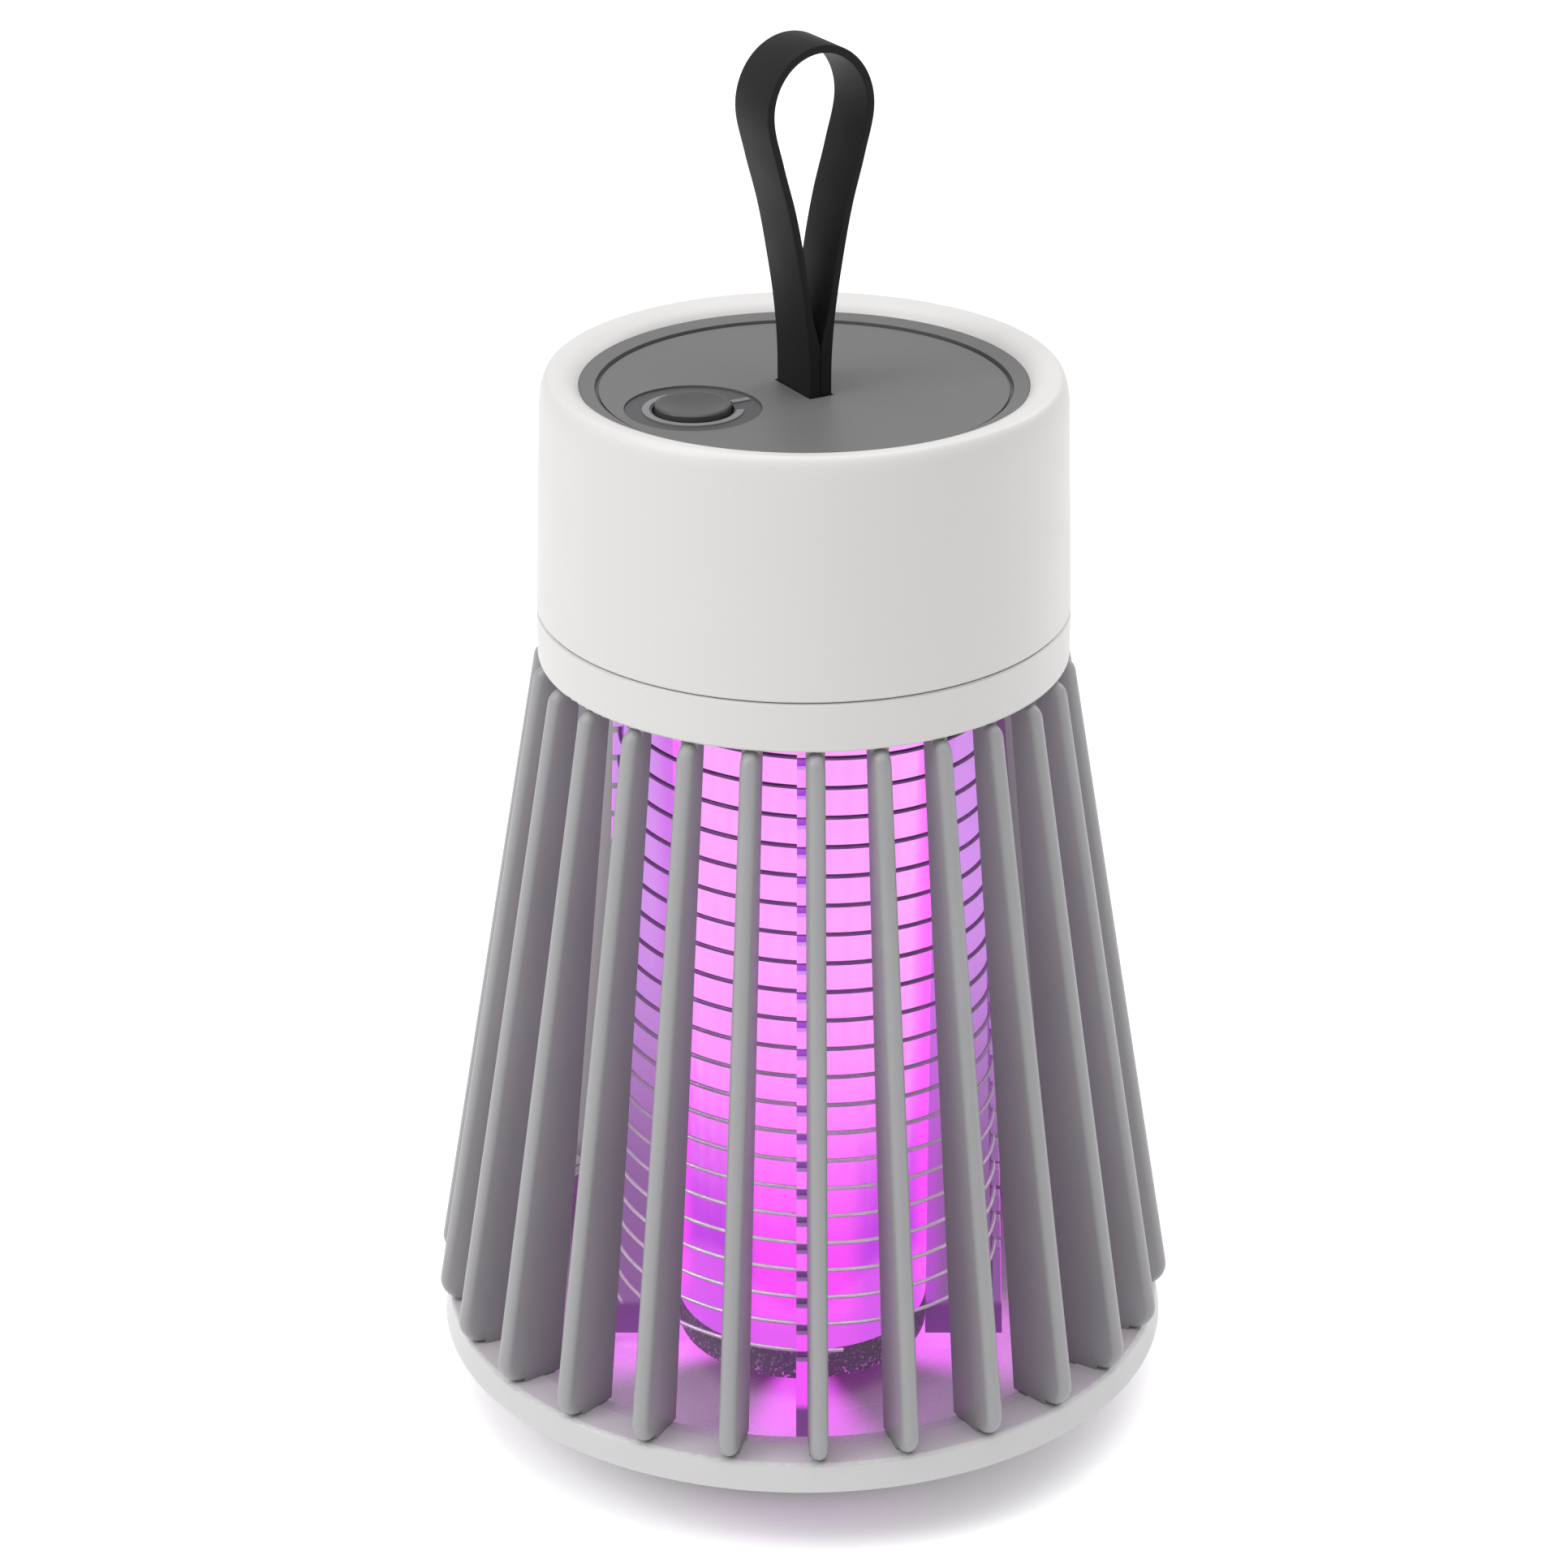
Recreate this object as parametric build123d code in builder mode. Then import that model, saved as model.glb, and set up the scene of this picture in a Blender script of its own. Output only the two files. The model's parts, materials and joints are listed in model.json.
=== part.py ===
from build123d import *

import os
from math import asin, cos, degrees, radians, sin

# Electric bug zapper: a flared cage of upright fins on a shallow tray, and a round head that
# twists and lifts off with the ultraviolet tube and the wire grid hanging under it.
# Millimetres. The origin is the centre of the feet's underside, +Z is up, the button is at -Y
# and the charging socket at +Y. Section points are (radius, height).

os.makedirs("parts", exist_ok=True)

# ---------------------------------------------------------------- clearances
slip = 0.3  # between pieces that turn, press or lift past each other
seat = 0.05  # between pieces that are glued, screwed or pressed together

# ---------------------------------------------------------------- base
base_radius = 42.5  # lower edge of the base ring, the widest circle of the base
ring_height = 3.34
ring_draft = 0.55  # how much the ring narrows from its lower to its upper edge
ring_rounding = 0.5
ledge_width = 4.7  # from the base radius in to the tray's rim
tray_depth = 8.2  # from the ring's lower edge down to the tray's underside
tray_wall = 1.6
tray_rim_drop = 0.15  # the tray's rim stands this much lower than the ledge
foot_inset = 13.5  # from the base radius in to the flat underside
pad_count = 4
pad_radius = 3.5
pad_inset = 5.5  # from the edge of the flat underside to a pad's centre
pad_thickness = 1.3
pad_proud = 0.8

# ---------------------------------------------------------------- cage
fin_count = 26
fin_thickness = 2.0
fin_height = 80.06  # from the ledge to the collar
fin_overhang = 1.14  # how far the fins stand out past the base radius
fin_skirt_overhang = 0.49  # how far their top ends stand out past the head's skirt
fin_top_seat = 0.9  # how much of the collar's width rests on a fin's top end
fin_foot_reach = 0.55  # how far the fins' feet reach in past the tray's rim
fin_foot_rounding = 2.8
fin_top_rounding = 1.8
fin_edge_rounding = 0.96  # nearly half the thickness, so the outer edge is a full round
collar_height = 3.0
collar_lip_height = 1.2
lip_gap_angle = 26.0
lug_angle = 20.0
lug_height = 1.2
lock_count = 3
lock_turn = 20.0  # from the lift-off position to the locked one
preload_ring_height = 1.0

# ---------------------------------------------------------------- head
skirt_radius = 29.65
skirt_wall = 1.45
skirt_gap = 0.27  # between the fins' top ends and the skirt's lower edge
shell_gap = 0.12  # between the lower and upper shell, the seam round the head
shell_height = 26.9  # from the floor's upper face to the rim's crest
shell_top_radius = 28.9
shell_wall = 1.8
seam_chamfer = 0.22
rim_width = 4.4  # from the shell's outer wall in to the top disc
rim_crest_inset = 1.3
rim_shoulder = 3.8
rim_slope = 1.37  # from the rim's crest down to the disc's edge
floor_thickness = 1.9
spigot_wall = 1.3
collar_width = 4.0  # room for the cage's collar between the spigot and the skirt
lug_reach = 1.1  # how far the lugs pass under the collar's lip
disc_thickness = 1.2
disc_dish = 0.63  # how far the disc's flat middle lies below its edge
disc_border = 1.7
disc_groove_width = 0.45
disc_groove_depth = 0.35
disc_ledge_width = 1.7
disc_ledge_height = 1.4

# ---------------------------------------------------------------- button and strap
button_offset = 13.8  # from the head's axis, towards -Y
button_radius = 4.15
button_proud = 0.75
button_dish = 0.5
button_flange_radius = 5.4
button_flange_thickness = 1.0
button_travel = 0.8
stem_radius = 1.5
bezel_radius = 7.4
bezel_thickness = 0.4
bezel_recess = 0.2
symbol_height = 0.12
symbol_line = 0.8
symbol_radius = 5.5
symbol_gap_angle = 64.0
strap_width = 7.12
strap_root_thickness = 2.75
strap_ply = 0.9
strap_half_width = 6.53
strap_widest_height = 31.5  # above the disc's flat
strap_height = 38.6  # above the disc's flat
strap_slit_height = 6.4  # where the two plies part, above the disc's flat
anchor_length = 10.5
anchor_width = 5.2
anchor_height = 2.6

# ---------------------------------------------------------------- electronics
board_radius = 25.2
board_thickness = 1.6
board_drop = 5.2  # from the disc's underside to the board's upper face
switch_size = 6.0
switch_height = 3.0
usb_width = 8.94
usb_height = 3.2
usb_length = 7.6
usb_wall = 0.35
usb_inset = 0.7  # the socket's mouth lies this far inside the shell's outer face
battery_radius = 7.05
battery_length = 49.2
battery_y = 1.5
battery_clearance = 1.0  # over the floor
cradle_x = 9.0
cradle_width = 4.0
cradle_height = 3.6
tab_thickness = 0.4
tab_width = 5.0
transformer_size = (11.0, 11.0, 11.5)
transformer_y = -13.6
capacitor_radius = 2.6
capacitor_height = 10.0
post_radius = 2.5
post_x = 14.0
post_y = 17.5
boss_radius = 2.3
boss_height = 7.6
screw_shank_radius = 0.95
screw_head_radius = 1.75
screw_head_height = 1.1
screw_depth = 6.0

# ---------------------------------------------------------------- lamp and grid
tube_radius = 14.7
tube_wall = 1.2
tube_socket_depth = 1.5
carrier_gap = 0.4  # carrier's underside above the spigot's lower edge
wing_count = 4
wing_bearing = 60.0
wing_thickness = 1.6
wing_foot_gap = 1.6  # over the tray's floor
wing_tenon_depth = 1.5
wing_tip = 0.75  # how far the wings stand out past the wires
notch_rise = 0.32  # notch above the wire's centre line
notch_drop = 1.1  # notch below the wire's centre line
notch_root = 0.35  # notch inside the wire's centre line
wire_radius = 0.25
wire_pitch = 6.95  # of each wire; the two wires share it, half a turn apart
wire_top_radius = 20.37
wire_flare = 0.0321  # radius gained per millimetre downwards
wire_top_drop = 0.81  # below the carrier
wire_bearing = 118.0  # where the first wire starts, at the carrier
wire_tails = (9.05, 11.0)  # how far above the wings' feet the two wires end
pin_radius = 0.6
led_board_gap = 0.7  # between the lamp board and the tube's wall
led_board_thickness = 1.2
led_count = 6
led_inset = 4.8  # from the lamp board's edge in to the diodes' centres
led_size = 3.2
led_height = 1.4
lead_radius = 0.5
lead_x = 2.0
lead_inset = 1.3  # from the lamp board's edge in to its pins
holder_drop = 4.1  # height of the dark ring under the tube
holder_over_floor = 3.7
holder_floor = 1.2
holder_plug = 2.0
cone_height = 18.0

# ---------------------------------------------------------------- heights and radii that follow
ring_bottom = pad_proud + tray_depth
ledge_top = ring_bottom + ring_height
ledge_inner = base_radius - ledge_width
foot_radius = base_radius - foot_inset
tray_inner = ledge_inner - seat - tray_wall
tray_floor = pad_proud + tray_wall
fin_top = ledge_top + fin_height
collar_top = fin_top + collar_height
lip_bottom = collar_top - collar_lip_height
skirt_bottom = fin_top + skirt_gap
skirt_inner = skirt_radius - skirt_wall
floor_bottom = collar_top + preload_ring_height
floor_top = floor_bottom + floor_thickness
spigot_bottom = fin_top + slip
spigot_outer = skirt_inner - collar_width
spigot_inner = spigot_outer - spigot_wall
lip_inner = spigot_outer + slip
lug_outer = lip_inner + lug_reach
recess_inner = lug_outer + slip
collar_outer = skirt_inner - slip
fin_top_inner = collar_outer - fin_top_seat
fin_foot_inner = tray_inner - fin_foot_reach
shell_bottom = floor_top + shell_gap
shell_top = floor_top + shell_height
disc_radius = shell_top_radius - rim_width
disc_edge = shell_top - rim_slope
disc_flat = disc_edge - disc_dish
disc_bottom = disc_flat - disc_thickness
board_top = disc_bottom - board_drop
board_bottom = board_top - board_thickness
carrier_bottom = spigot_bottom + carrier_gap
carrier_radius = spigot_inner - slip
tube_inner = tube_radius - tube_wall
tube_top = carrier_bottom + tube_socket_depth
led_board_radius = tube_inner - led_board_gap
led_circle = led_board_radius - led_inset
lead_y = led_board_radius - lead_inset
holder_bottom = tray_floor + holder_over_floor
tube_bottom = holder_bottom + holder_drop
wing_foot = tray_floor + wing_foot_gap
wire_top = carrier_bottom - wire_top_drop
pivot_height = disc_flat + slip + 0.12 + strap_root_thickness / 2


def wire_circle(height):
    """Radius of the wires' centre line at a height."""
    return wire_top_radius + (wire_top - height) * wire_flare


def half_section(*points):
    """A closed straight-sided section on the XZ plane, ready to revolve about Z."""
    with BuildSketch(Plane.XZ, mode=Mode.PRIVATE) as section:
        with BuildLine():
            Polyline(*points, close=True)
        make_face()
    return section.sketch


def sector(inner, outer, bearing, width):
    """A flat ring sector centred on a bearing in degrees, on the XY plane."""
    first = radians(bearing - width / 2)
    middle = radians(bearing)
    last = radians(bearing + width / 2)
    with BuildSketch(mode=Mode.PRIVATE) as face:
        with BuildLine():
            inside = ThreePointArc(
                (inner * cos(first), inner * sin(first)),
                (inner * cos(middle), inner * sin(middle)),
                (inner * cos(last), inner * sin(last)),
            )
            outside = ThreePointArc(
                (outer * cos(first), outer * sin(first)),
                (outer * cos(middle), outer * sin(middle)),
                (outer * cos(last), outer * sin(last)),
            )
            Line(inside @ 0, outside @ 0)
            Line(inside @ 1, outside @ 1)
        make_face()
    return face.sketch


# ================================================================ base
# White outer ring that carries the fins on its upper face, the ledge.
with BuildPart() as base_ring:
    revolve(
        half_section(
            (ledge_inner, ring_bottom),
            (base_radius, ring_bottom),
            (base_radius - ring_draft, ledge_top),
            (ledge_inner, ledge_top),
        ),
        axis=Axis.Z,
    )
    ledge_edges = base_ring.edges().filter_by(GeomType.CIRCLE).group_by(Axis.Z)[-1]
    fillet(ledge_edges.sort_by(SortBy.RADIUS)[-1], ring_rounding)
base_ring.part.label = "base_ring"
export_step(base_ring.part, "parts/base_ring.step")

# Shallow conical tray that catches the insects; its rim stands inside the ring.
with BuildPart() as base_tray:
    revolve(
        half_section(
            (0, pad_proud),
            (foot_radius, pad_proud),
            (base_radius - ring_rounding, ring_bottom),
            (ledge_inner - seat, ring_bottom),
            (ledge_inner - seat, ledge_top - tray_rim_drop),
            (tray_inner, ledge_top - tray_rim_drop),
            (tray_inner, ring_bottom - tray_wall),
            (foot_radius - tray_wall, tray_floor),
            (0, tray_floor),
        ),
        axis=Axis.Z,
    )
    with Locations((0, 0, pad_proud)):
        with PolarLocations(foot_radius - pad_inset, pad_count, start_angle=45):
            Cylinder(pad_radius + seat, 2 * (pad_thickness - pad_proud), mode=Mode.SUBTRACT)
base_tray.part.label = "base_tray"
export_step(base_tray.part, "parts/base_tray.step")

# Rubber feet, let into the tray's underside.
with BuildPart() as foot_pads:
    with PolarLocations(foot_radius - pad_inset, pad_count, start_angle=45):
        Cylinder(pad_radius, pad_thickness, align=(Align.CENTER, Align.CENTER, Align.MIN))
    fillet(foot_pads.edges().group_by(Axis.Z)[0], pad_proud / 2)
foot_pads.part.label = "foot_pads"
export_step(foot_pads.part, "parts/foot_pads.step")

# ================================================================ cage
# One fin: a flat blade whose outer edge leans inwards and is fully rounded.
with BuildPart() as fin_blade:
    with BuildSketch(Plane.XZ.offset(-fin_thickness / 2)) as fin_outline:
        with BuildLine():
            Polyline(
                (fin_foot_inner, ledge_top),
                (base_radius + fin_overhang, ledge_top),
                (skirt_radius + fin_skirt_overhang, fin_top),
                (fin_top_inner, fin_top),
                close=True,
            )
        make_face()
        fillet(fin_outline.vertices().group_by(Axis.Y)[-1].sort_by(Axis.X)[-1], fin_top_rounding)
        fillet(fin_outline.vertices().group_by(Axis.Y)[0].sort_by(Axis.X)[-1], fin_foot_rounding)
    extrude(amount=fin_thickness)
    outer_face = fin_blade.faces().filter_by(GeomType.PLANE).sort_by(Axis.X)[-1]
    outer_edges = fin_blade.edges().filter_by(lambda edge: abs((edge @ 0.5).Y) > fin_thickness / 3)
    rim_edges = outer_edges.filter_by(
        lambda edge: edge.geom_type == GeomType.CIRCLE or (edge @ 0.5).X > outer_face.center().X - 0.01
    )
    fillet(rim_edges, fin_edge_rounding)

# All the fins: moulded with the collar on the real cage, and kept as separate blades here so that
# the gaps between them stay open.
with BuildPart() as cage_fins:
    with PolarLocations(0, fin_count):
        add(fin_blade.part)
cage_fins.part.label = "cage_fins"
export_step(cage_fins.part, "parts/cage_fins.step")

# Collar across the fins' top ends: an inner lip with entry gaps, a recess under it for the head's
# lugs, and a stop behind each gap.
with BuildPart() as cage_collar:
    revolve(
        half_section(
            (recess_inner, fin_top),
            (collar_outer, fin_top),
            (collar_outer, collar_top),
            (lip_inner, collar_top),
            (lip_inner, lip_bottom),
            (recess_inner, lip_bottom),
        ),
        axis=Axis.Z,
    )
    for lock in range(lock_count):
        gap_bearing = lock * 360 / lock_count
        with BuildSketch(Plane.XY.offset(lip_bottom)):
            add(sector(lip_inner - slip, recess_inner, gap_bearing, lip_gap_angle))
        extrude(amount=2 * collar_lip_height, mode=Mode.SUBTRACT)
        with BuildSketch(Plane.XY.offset(fin_top)):
            stop_bearing = gap_bearing + lock_turn + lug_angle / 2 + 3
            add(sector(lip_inner, recess_inner + seat, stop_bearing, 4))
        extrude(amount=lip_bottom - fin_top)
cage_collar.part.label = "cage_collar"
export_step(cage_collar.part, "parts/cage_collar.step")

# Flat silicone ring between the collar and the head: it loads the bayonet, and turns with the head.
with BuildPart() as preload_ring:
    revolve(
        half_section(
            (recess_inner - slip, collar_top),
            (collar_outer - slip, collar_top),
            (collar_outer - slip, floor_bottom),
            (recess_inner - slip, floor_bottom),
        ),
        axis=Axis.Z,
    )
preload_ring.part.label = "preload_ring"
export_step(preload_ring.part, "parts/preload_ring.step")

# ================================================================ head shells
boss_circle = skirt_inner - boss_radius
grid_screw_circle = (tube_radius + carrier_radius) / 2 - 0.6
grid_screw_bearing = wing_bearing - 45
posts = [(post_x, post_y), (-post_x, post_y), (-post_x, -post_y), (post_x, -post_y)]
pin_bearings = (wire_bearing, wire_bearing + 180)
pin_circle = wire_circle(wire_top)

# Lower shell: skirt, floor, and the spigot whose lugs lock into the collar; posts carry the board.
with BuildPart() as lower_shell:
    revolve(
        half_section(
            (0, floor_bottom),
            (spigot_inner, floor_bottom),
            (spigot_inner, spigot_bottom),
            (spigot_outer, spigot_bottom),
            (spigot_outer, floor_bottom),
            (skirt_inner, floor_bottom),
            (skirt_inner, skirt_bottom),
            (skirt_radius, skirt_bottom),
            (skirt_radius, floor_top),
            (0, floor_top),
        ),
        axis=Axis.Z,
    )
    skirt_edges = lower_shell.edges().filter_by(GeomType.CIRCLE)
    skirt_edges = skirt_edges.filter_by(lambda edge: abs(edge.radius - skirt_radius) < 0.001)
    chamfer(skirt_edges.sort_by(Axis.Z)[-1], seam_chamfer)
    fillet(skirt_edges.sort_by(Axis.Z)[0], 2 * seam_chamfer)
    for lock in range(lock_count):
        with BuildSketch(Plane.XY.offset(spigot_bottom)):
            add(sector(spigot_outer - seat, lug_outer, lock * 360 / lock_count, lug_angle))
        extrude(amount=lug_height)
    with BuildSketch(Plane.XY.offset(floor_top)):
        with Locations(*posts):
            Circle(post_radius)
    extrude(amount=board_bottom - floor_top)
    with BuildSketch(Plane.XY.offset(board_bottom)):
        with Locations(*posts):
            Circle(screw_shank_radius + seat)
    extrude(amount=-screw_depth, mode=Mode.SUBTRACT)
    with BuildSketch(Plane.XY.offset(floor_bottom)):
        with PolarLocations(boss_circle, lock_count, start_angle=90):
            Circle(screw_shank_radius + slip)
        with PolarLocations(grid_screw_circle, wing_count, start_angle=grid_screw_bearing):
            Circle(screw_shank_radius + slip)
        with PolarLocations(pin_circle, 2, start_angle=wire_bearing):
            Circle(pin_radius + slip)
        with Locations((-lead_x, lead_y), (lead_x, lead_y)):
            Circle(lead_radius + slip)
    extrude(amount=floor_top - floor_bottom, mode=Mode.SUBTRACT)
    with Locations((0, 0, floor_bottom)):
        with PolarLocations(boss_circle, lock_count, start_angle=90):
            Cone(
                screw_head_radius + slip,
                screw_shank_radius + slip,
                screw_head_height + seat,
                align=(Align.CENTER, Align.CENTER, Align.MIN),
                mode=Mode.SUBTRACT,
            )
lower_shell.part.label = "lower_shell"
export_step(lower_shell.part, "parts/lower_shell.step")

# Upper shell: a drawn-up cup with a rolled rim, a ledge for the top disc, three screw bosses and
# the window for the charging socket.
shell_inner_top = shell_top_radius - shell_wall
shell_inner_bottom = skirt_radius - shell_wall
ledge_bottom = disc_bottom - disc_ledge_height
with BuildPart() as upper_shell:
    with BuildSketch(Plane.XZ):
        with BuildLine():
            wall = Line((skirt_radius, shell_bottom), (shell_top_radius, shell_top - rim_shoulder))
            shoulder = EllipticalCenterArc(
                (shell_top_radius - rim_crest_inset, shell_top - rim_shoulder),
                rim_crest_inset,
                rim_shoulder,
                arc_size=90,
            )
            slope = Spline(
                shoulder @ 1,
                (disc_radius + seat, disc_edge),
                tangents=((-1, 0), (-0.55, -0.85)),
            )
            Polyline(
                slope @ 1,
                (disc_radius + seat, disc_bottom),
                (disc_radius - disc_ledge_width, disc_bottom),
                (disc_radius - disc_ledge_width, ledge_bottom),
                (shell_inner_top, ledge_bottom),
                (shell_inner_bottom, shell_bottom),
                (skirt_radius, shell_bottom),
            )
        make_face()
    revolve(axis=Axis.Z)
    lower_edges = upper_shell.edges().filter_by(GeomType.CIRCLE).group_by(Axis.Z)[0]
    chamfer(lower_edges.sort_by(SortBy.RADIUS)[-1], seam_chamfer)
    with Locations((0, 0, shell_bottom)):
        with PolarLocations(boss_circle, lock_count, start_angle=90):
            Cylinder(boss_radius, boss_height, align=(Align.CENTER, Align.CENTER, Align.MIN))
            Cylinder(
                screw_shank_radius + seat,
                boss_height - 1,
                align=(Align.CENTER, Align.CENTER, Align.MIN),
                mode=Mode.SUBTRACT,
            )
    with BuildSketch(Plane.XZ.offset(-shell_inner_top + 1)):
        with Locations((0, board_top + usb_height / 2)):
            RectangleRounded(usb_width + 2 * seat, usb_height + 2 * seat, usb_height / 2)
    extrude(amount=-3 * shell_wall, mode=Mode.SUBTRACT)
upper_shell.part.label = "upper_shell"
export_step(upper_shell.part, "parts/upper_shell.step")

# Countersunk screws up through the floor into the upper shell's bosses.
with BuildPart() as shell_screws:
    with Locations((0, 0, floor_bottom + seat)):
        with PolarLocations(boss_circle, lock_count, start_angle=90):
            Cone(
                screw_head_radius,
                screw_shank_radius,
                screw_head_height,
                align=(Align.CENTER, Align.CENTER, Align.MIN),
            )
            Cylinder(
                screw_shank_radius,
                floor_thickness + boss_height - 2,
                align=(Align.CENTER, Align.CENTER, Align.MIN),
            )
            Cylinder(
                screw_head_radius / 2.5,
                0.6,
                align=(Align.CENTER, Align.CENTER, Align.MIN),
                mode=Mode.SUBTRACT,
            )
shell_screws.part.label = "shell_screws"
export_step(shell_screws.part, "parts/shell_screws.step")

# ================================================================ top disc, button, strap
# Grey top disc: raised border, fine groove, dished middle, pocket and hole for the button, slot
# for the strap.
border_inner = disc_radius - disc_border
groove_inner = border_inner - disc_groove_width
with BuildPart() as top_disc:
    revolve(
        half_section(
            (0, disc_bottom),
            (disc_radius, disc_bottom),
            (disc_radius, disc_edge),
            (border_inner, disc_flat + 0.25),
            (border_inner, disc_flat - disc_groove_depth),
            (groove_inner, disc_flat - disc_groove_depth),
            (groove_inner, disc_flat),
            (0, disc_flat),
        ),
        axis=Axis.Z,
    )
    with BuildSketch(Plane.XY.offset(disc_flat)):
        with Locations((0, -button_offset)):
            Circle(bezel_radius + seat)
    extrude(amount=-bezel_recess - bezel_thickness, mode=Mode.SUBTRACT)
    with BuildSketch(Plane.XY.offset(disc_bottom)):
        with Locations((0, -button_offset)):
            Circle(button_radius + slip)
        Rectangle(strap_width + 2 * slip, strap_root_thickness + slip)
    extrude(amount=disc_thickness, mode=Mode.SUBTRACT)
top_disc.part.label = "top_disc"
export_step(top_disc.part, "parts/top_disc.step")

# Dark ring round the button.
bezel_top = disc_flat - bezel_recess
with BuildPart() as button_bezel:
    with BuildSketch(Plane.XY.offset(bezel_top)):
        with Locations((0, -button_offset)):
            Circle(bezel_radius)
            Circle(button_radius + slip, mode=Mode.SUBTRACT)
    extrude(amount=-bezel_thickness)
button_bezel.part.label = "button_bezel"
export_step(button_bezel.part, "parts/button_bezel.step")

# Raised power sign on the ring: an open circle and a short bar in its gap.
with BuildPart() as power_sign:
    with BuildSketch(Plane.XY.offset(bezel_top)):
        with Locations((0, -button_offset)):
            add(sector(symbol_radius - symbol_line, symbol_radius, 270, 360 - symbol_gap_angle))
        with Locations((0, symbol_radius + 0.3 - button_offset)):
            Rectangle(symbol_line, 2.2)
    extrude(amount=symbol_height)
power_sign.part.label = "power_sign"
export_step(power_sign.part, "parts/power_sign.step")

# Push button with a dished top; the flange under the disc keeps it in.
button_top = bezel_top + button_proud
flange_top = disc_bottom - seat
switch_top = board_top + switch_height
stem_bottom = switch_top - button_travel / 2
with BuildPart() as button_cap:
    with Locations((0, -button_offset, flange_top - button_flange_thickness)):
        Cylinder(
            button_flange_radius,
            button_flange_thickness,
            align=(Align.CENTER, Align.CENTER, Align.MIN),
        )
        Cylinder(
            button_radius,
            button_top - flange_top + button_flange_thickness,
            align=(Align.CENTER, Align.CENTER, Align.MIN),
        )
    fillet(button_cap.edges().group_by(Axis.Z)[-1], button_dish / 2)
    dish_radius = button_radius - button_dish
    dish_sphere = (dish_radius**2 + button_dish**2) / (2 * button_dish)
    with Locations((0, -button_offset, button_top - button_dish + dish_sphere)):
        Sphere(dish_sphere, mode=Mode.SUBTRACT)
    with Locations((0, -button_offset, stem_bottom)):
        Cylinder(
            stem_radius,
            flange_top - stem_bottom - button_flange_thickness / 2,
            align=(Align.CENTER, Align.CENTER, Align.MIN),
        )
button_cap.part.label = "button_cap"
export_step(button_cap.part, "parts/button_cap.step")


def strap_outline(inset, foot):
    """Closed outline of the strap's loop on the YZ plane, seen from +X, inset from its outer face."""
    pivot_lift = pivot_height - disc_flat
    widest = strap_half_width - inset
    with BuildSketch(mode=Mode.PRIVATE) as face:
        with BuildLine():
            side = Spline(
                (strap_root_thickness / 2 - inset, foot),
                (1.77 - inset, 8.5 - pivot_lift),
                (2.95 - inset, 16.0 - pivot_lift),
                (3.98 - inset, 21.0 - pivot_lift),
                (widest, strap_widest_height - pivot_lift),
                tangents=((0, 1), (0, 1)),
            )
            EllipticalCenterArc(
                (0, strap_widest_height - pivot_lift),
                widest,
                strap_height - strap_widest_height - inset,
                arc_size=90,
            )
            ThreePointArc(
                side @ 0,
                (cos(radians(45)) * (side @ 0).X, foot - sin(radians(45)) * (side @ 0).X),
                (0, foot - (side @ 0).X),
            )
            mirror(about=Plane.YZ)
        make_face()
    return face.sketch


# Silicone strap above the disc: two plies that part into a teardrop loop.
with BuildPart() as strap_loop:
    with BuildSketch(Plane((-strap_width / 2, 0, pivot_height), (0, 1, 0), (1, 0, 0))):
        add(strap_outline(0, 0))
        add(
            strap_outline(strap_ply, strap_slit_height - (pivot_height - disc_flat)),
            mode=Mode.SUBTRACT,
        )
    extrude(amount=strap_width)
strap_loop.part.label = "strap_loop"
export_step(strap_loop.part, "parts/strap_loop.step")

# The strap's root in the slot, with the bar under the disc that holds it.
with BuildPart() as strap_root:
    with BuildSketch(Plane.XY.offset(disc_flat + 0.12)):
        Rectangle(strap_width, strap_root_thickness)
    extrude(amount=-disc_thickness - 0.12)
    with BuildSketch(Plane.XY.offset(disc_bottom)):
        Rectangle(anchor_length, anchor_width)
    extrude(amount=-anchor_height)
strap_root.part.label = "strap_root"
export_step(strap_root.part, "parts/strap_root.step")

# ================================================================ electronics
# Main board across the head, on the four posts.
with BuildPart() as main_board:
    with BuildSketch(Plane.XY.offset(board_bottom)):
        Circle(board_radius)
        with Locations(*posts):
            Circle(screw_shank_radius + slip, mode=Mode.SUBTRACT)
    extrude(amount=board_thickness)
main_board.part.label = "main_board"
export_step(main_board.part, "parts/main_board.step")

# Pan-head screws that hold the board to the posts.
with BuildPart() as board_screws:
    with BuildSketch(Plane.XY.offset(board_top)):
        with Locations(*posts):
            Circle(screw_head_radius)
    extrude(amount=screw_head_height)
    fillet(board_screws.edges().group_by(Axis.Z)[-1], screw_head_height / 2)
    with BuildSketch(Plane.XY.offset(board_top)):
        with Locations(*posts):
            Circle(screw_shank_radius)
    extrude(amount=1 - screw_depth - board_thickness)
board_screws.part.label = "board_screws"
export_step(board_screws.part, "parts/board_screws.step")

# Tactile switch under the button; the button's stem reaches into it.
with BuildPart() as tact_switch:
    with BuildSketch(Plane.XY.offset(board_top)):
        with Locations((0, -button_offset)):
            Rectangle(switch_size, switch_size)
    extrude(amount=switch_height)
    with BuildSketch(Plane.XY.offset(switch_top)):
        with Locations((0, -button_offset)):
            Circle(stem_radius + slip)
    extrude(amount=-button_travel - slip - button_travel / 2, mode=Mode.SUBTRACT)
tact_switch.part.label = "tact_switch"
export_step(tact_switch.part, "parts/tact_switch.step")

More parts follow.
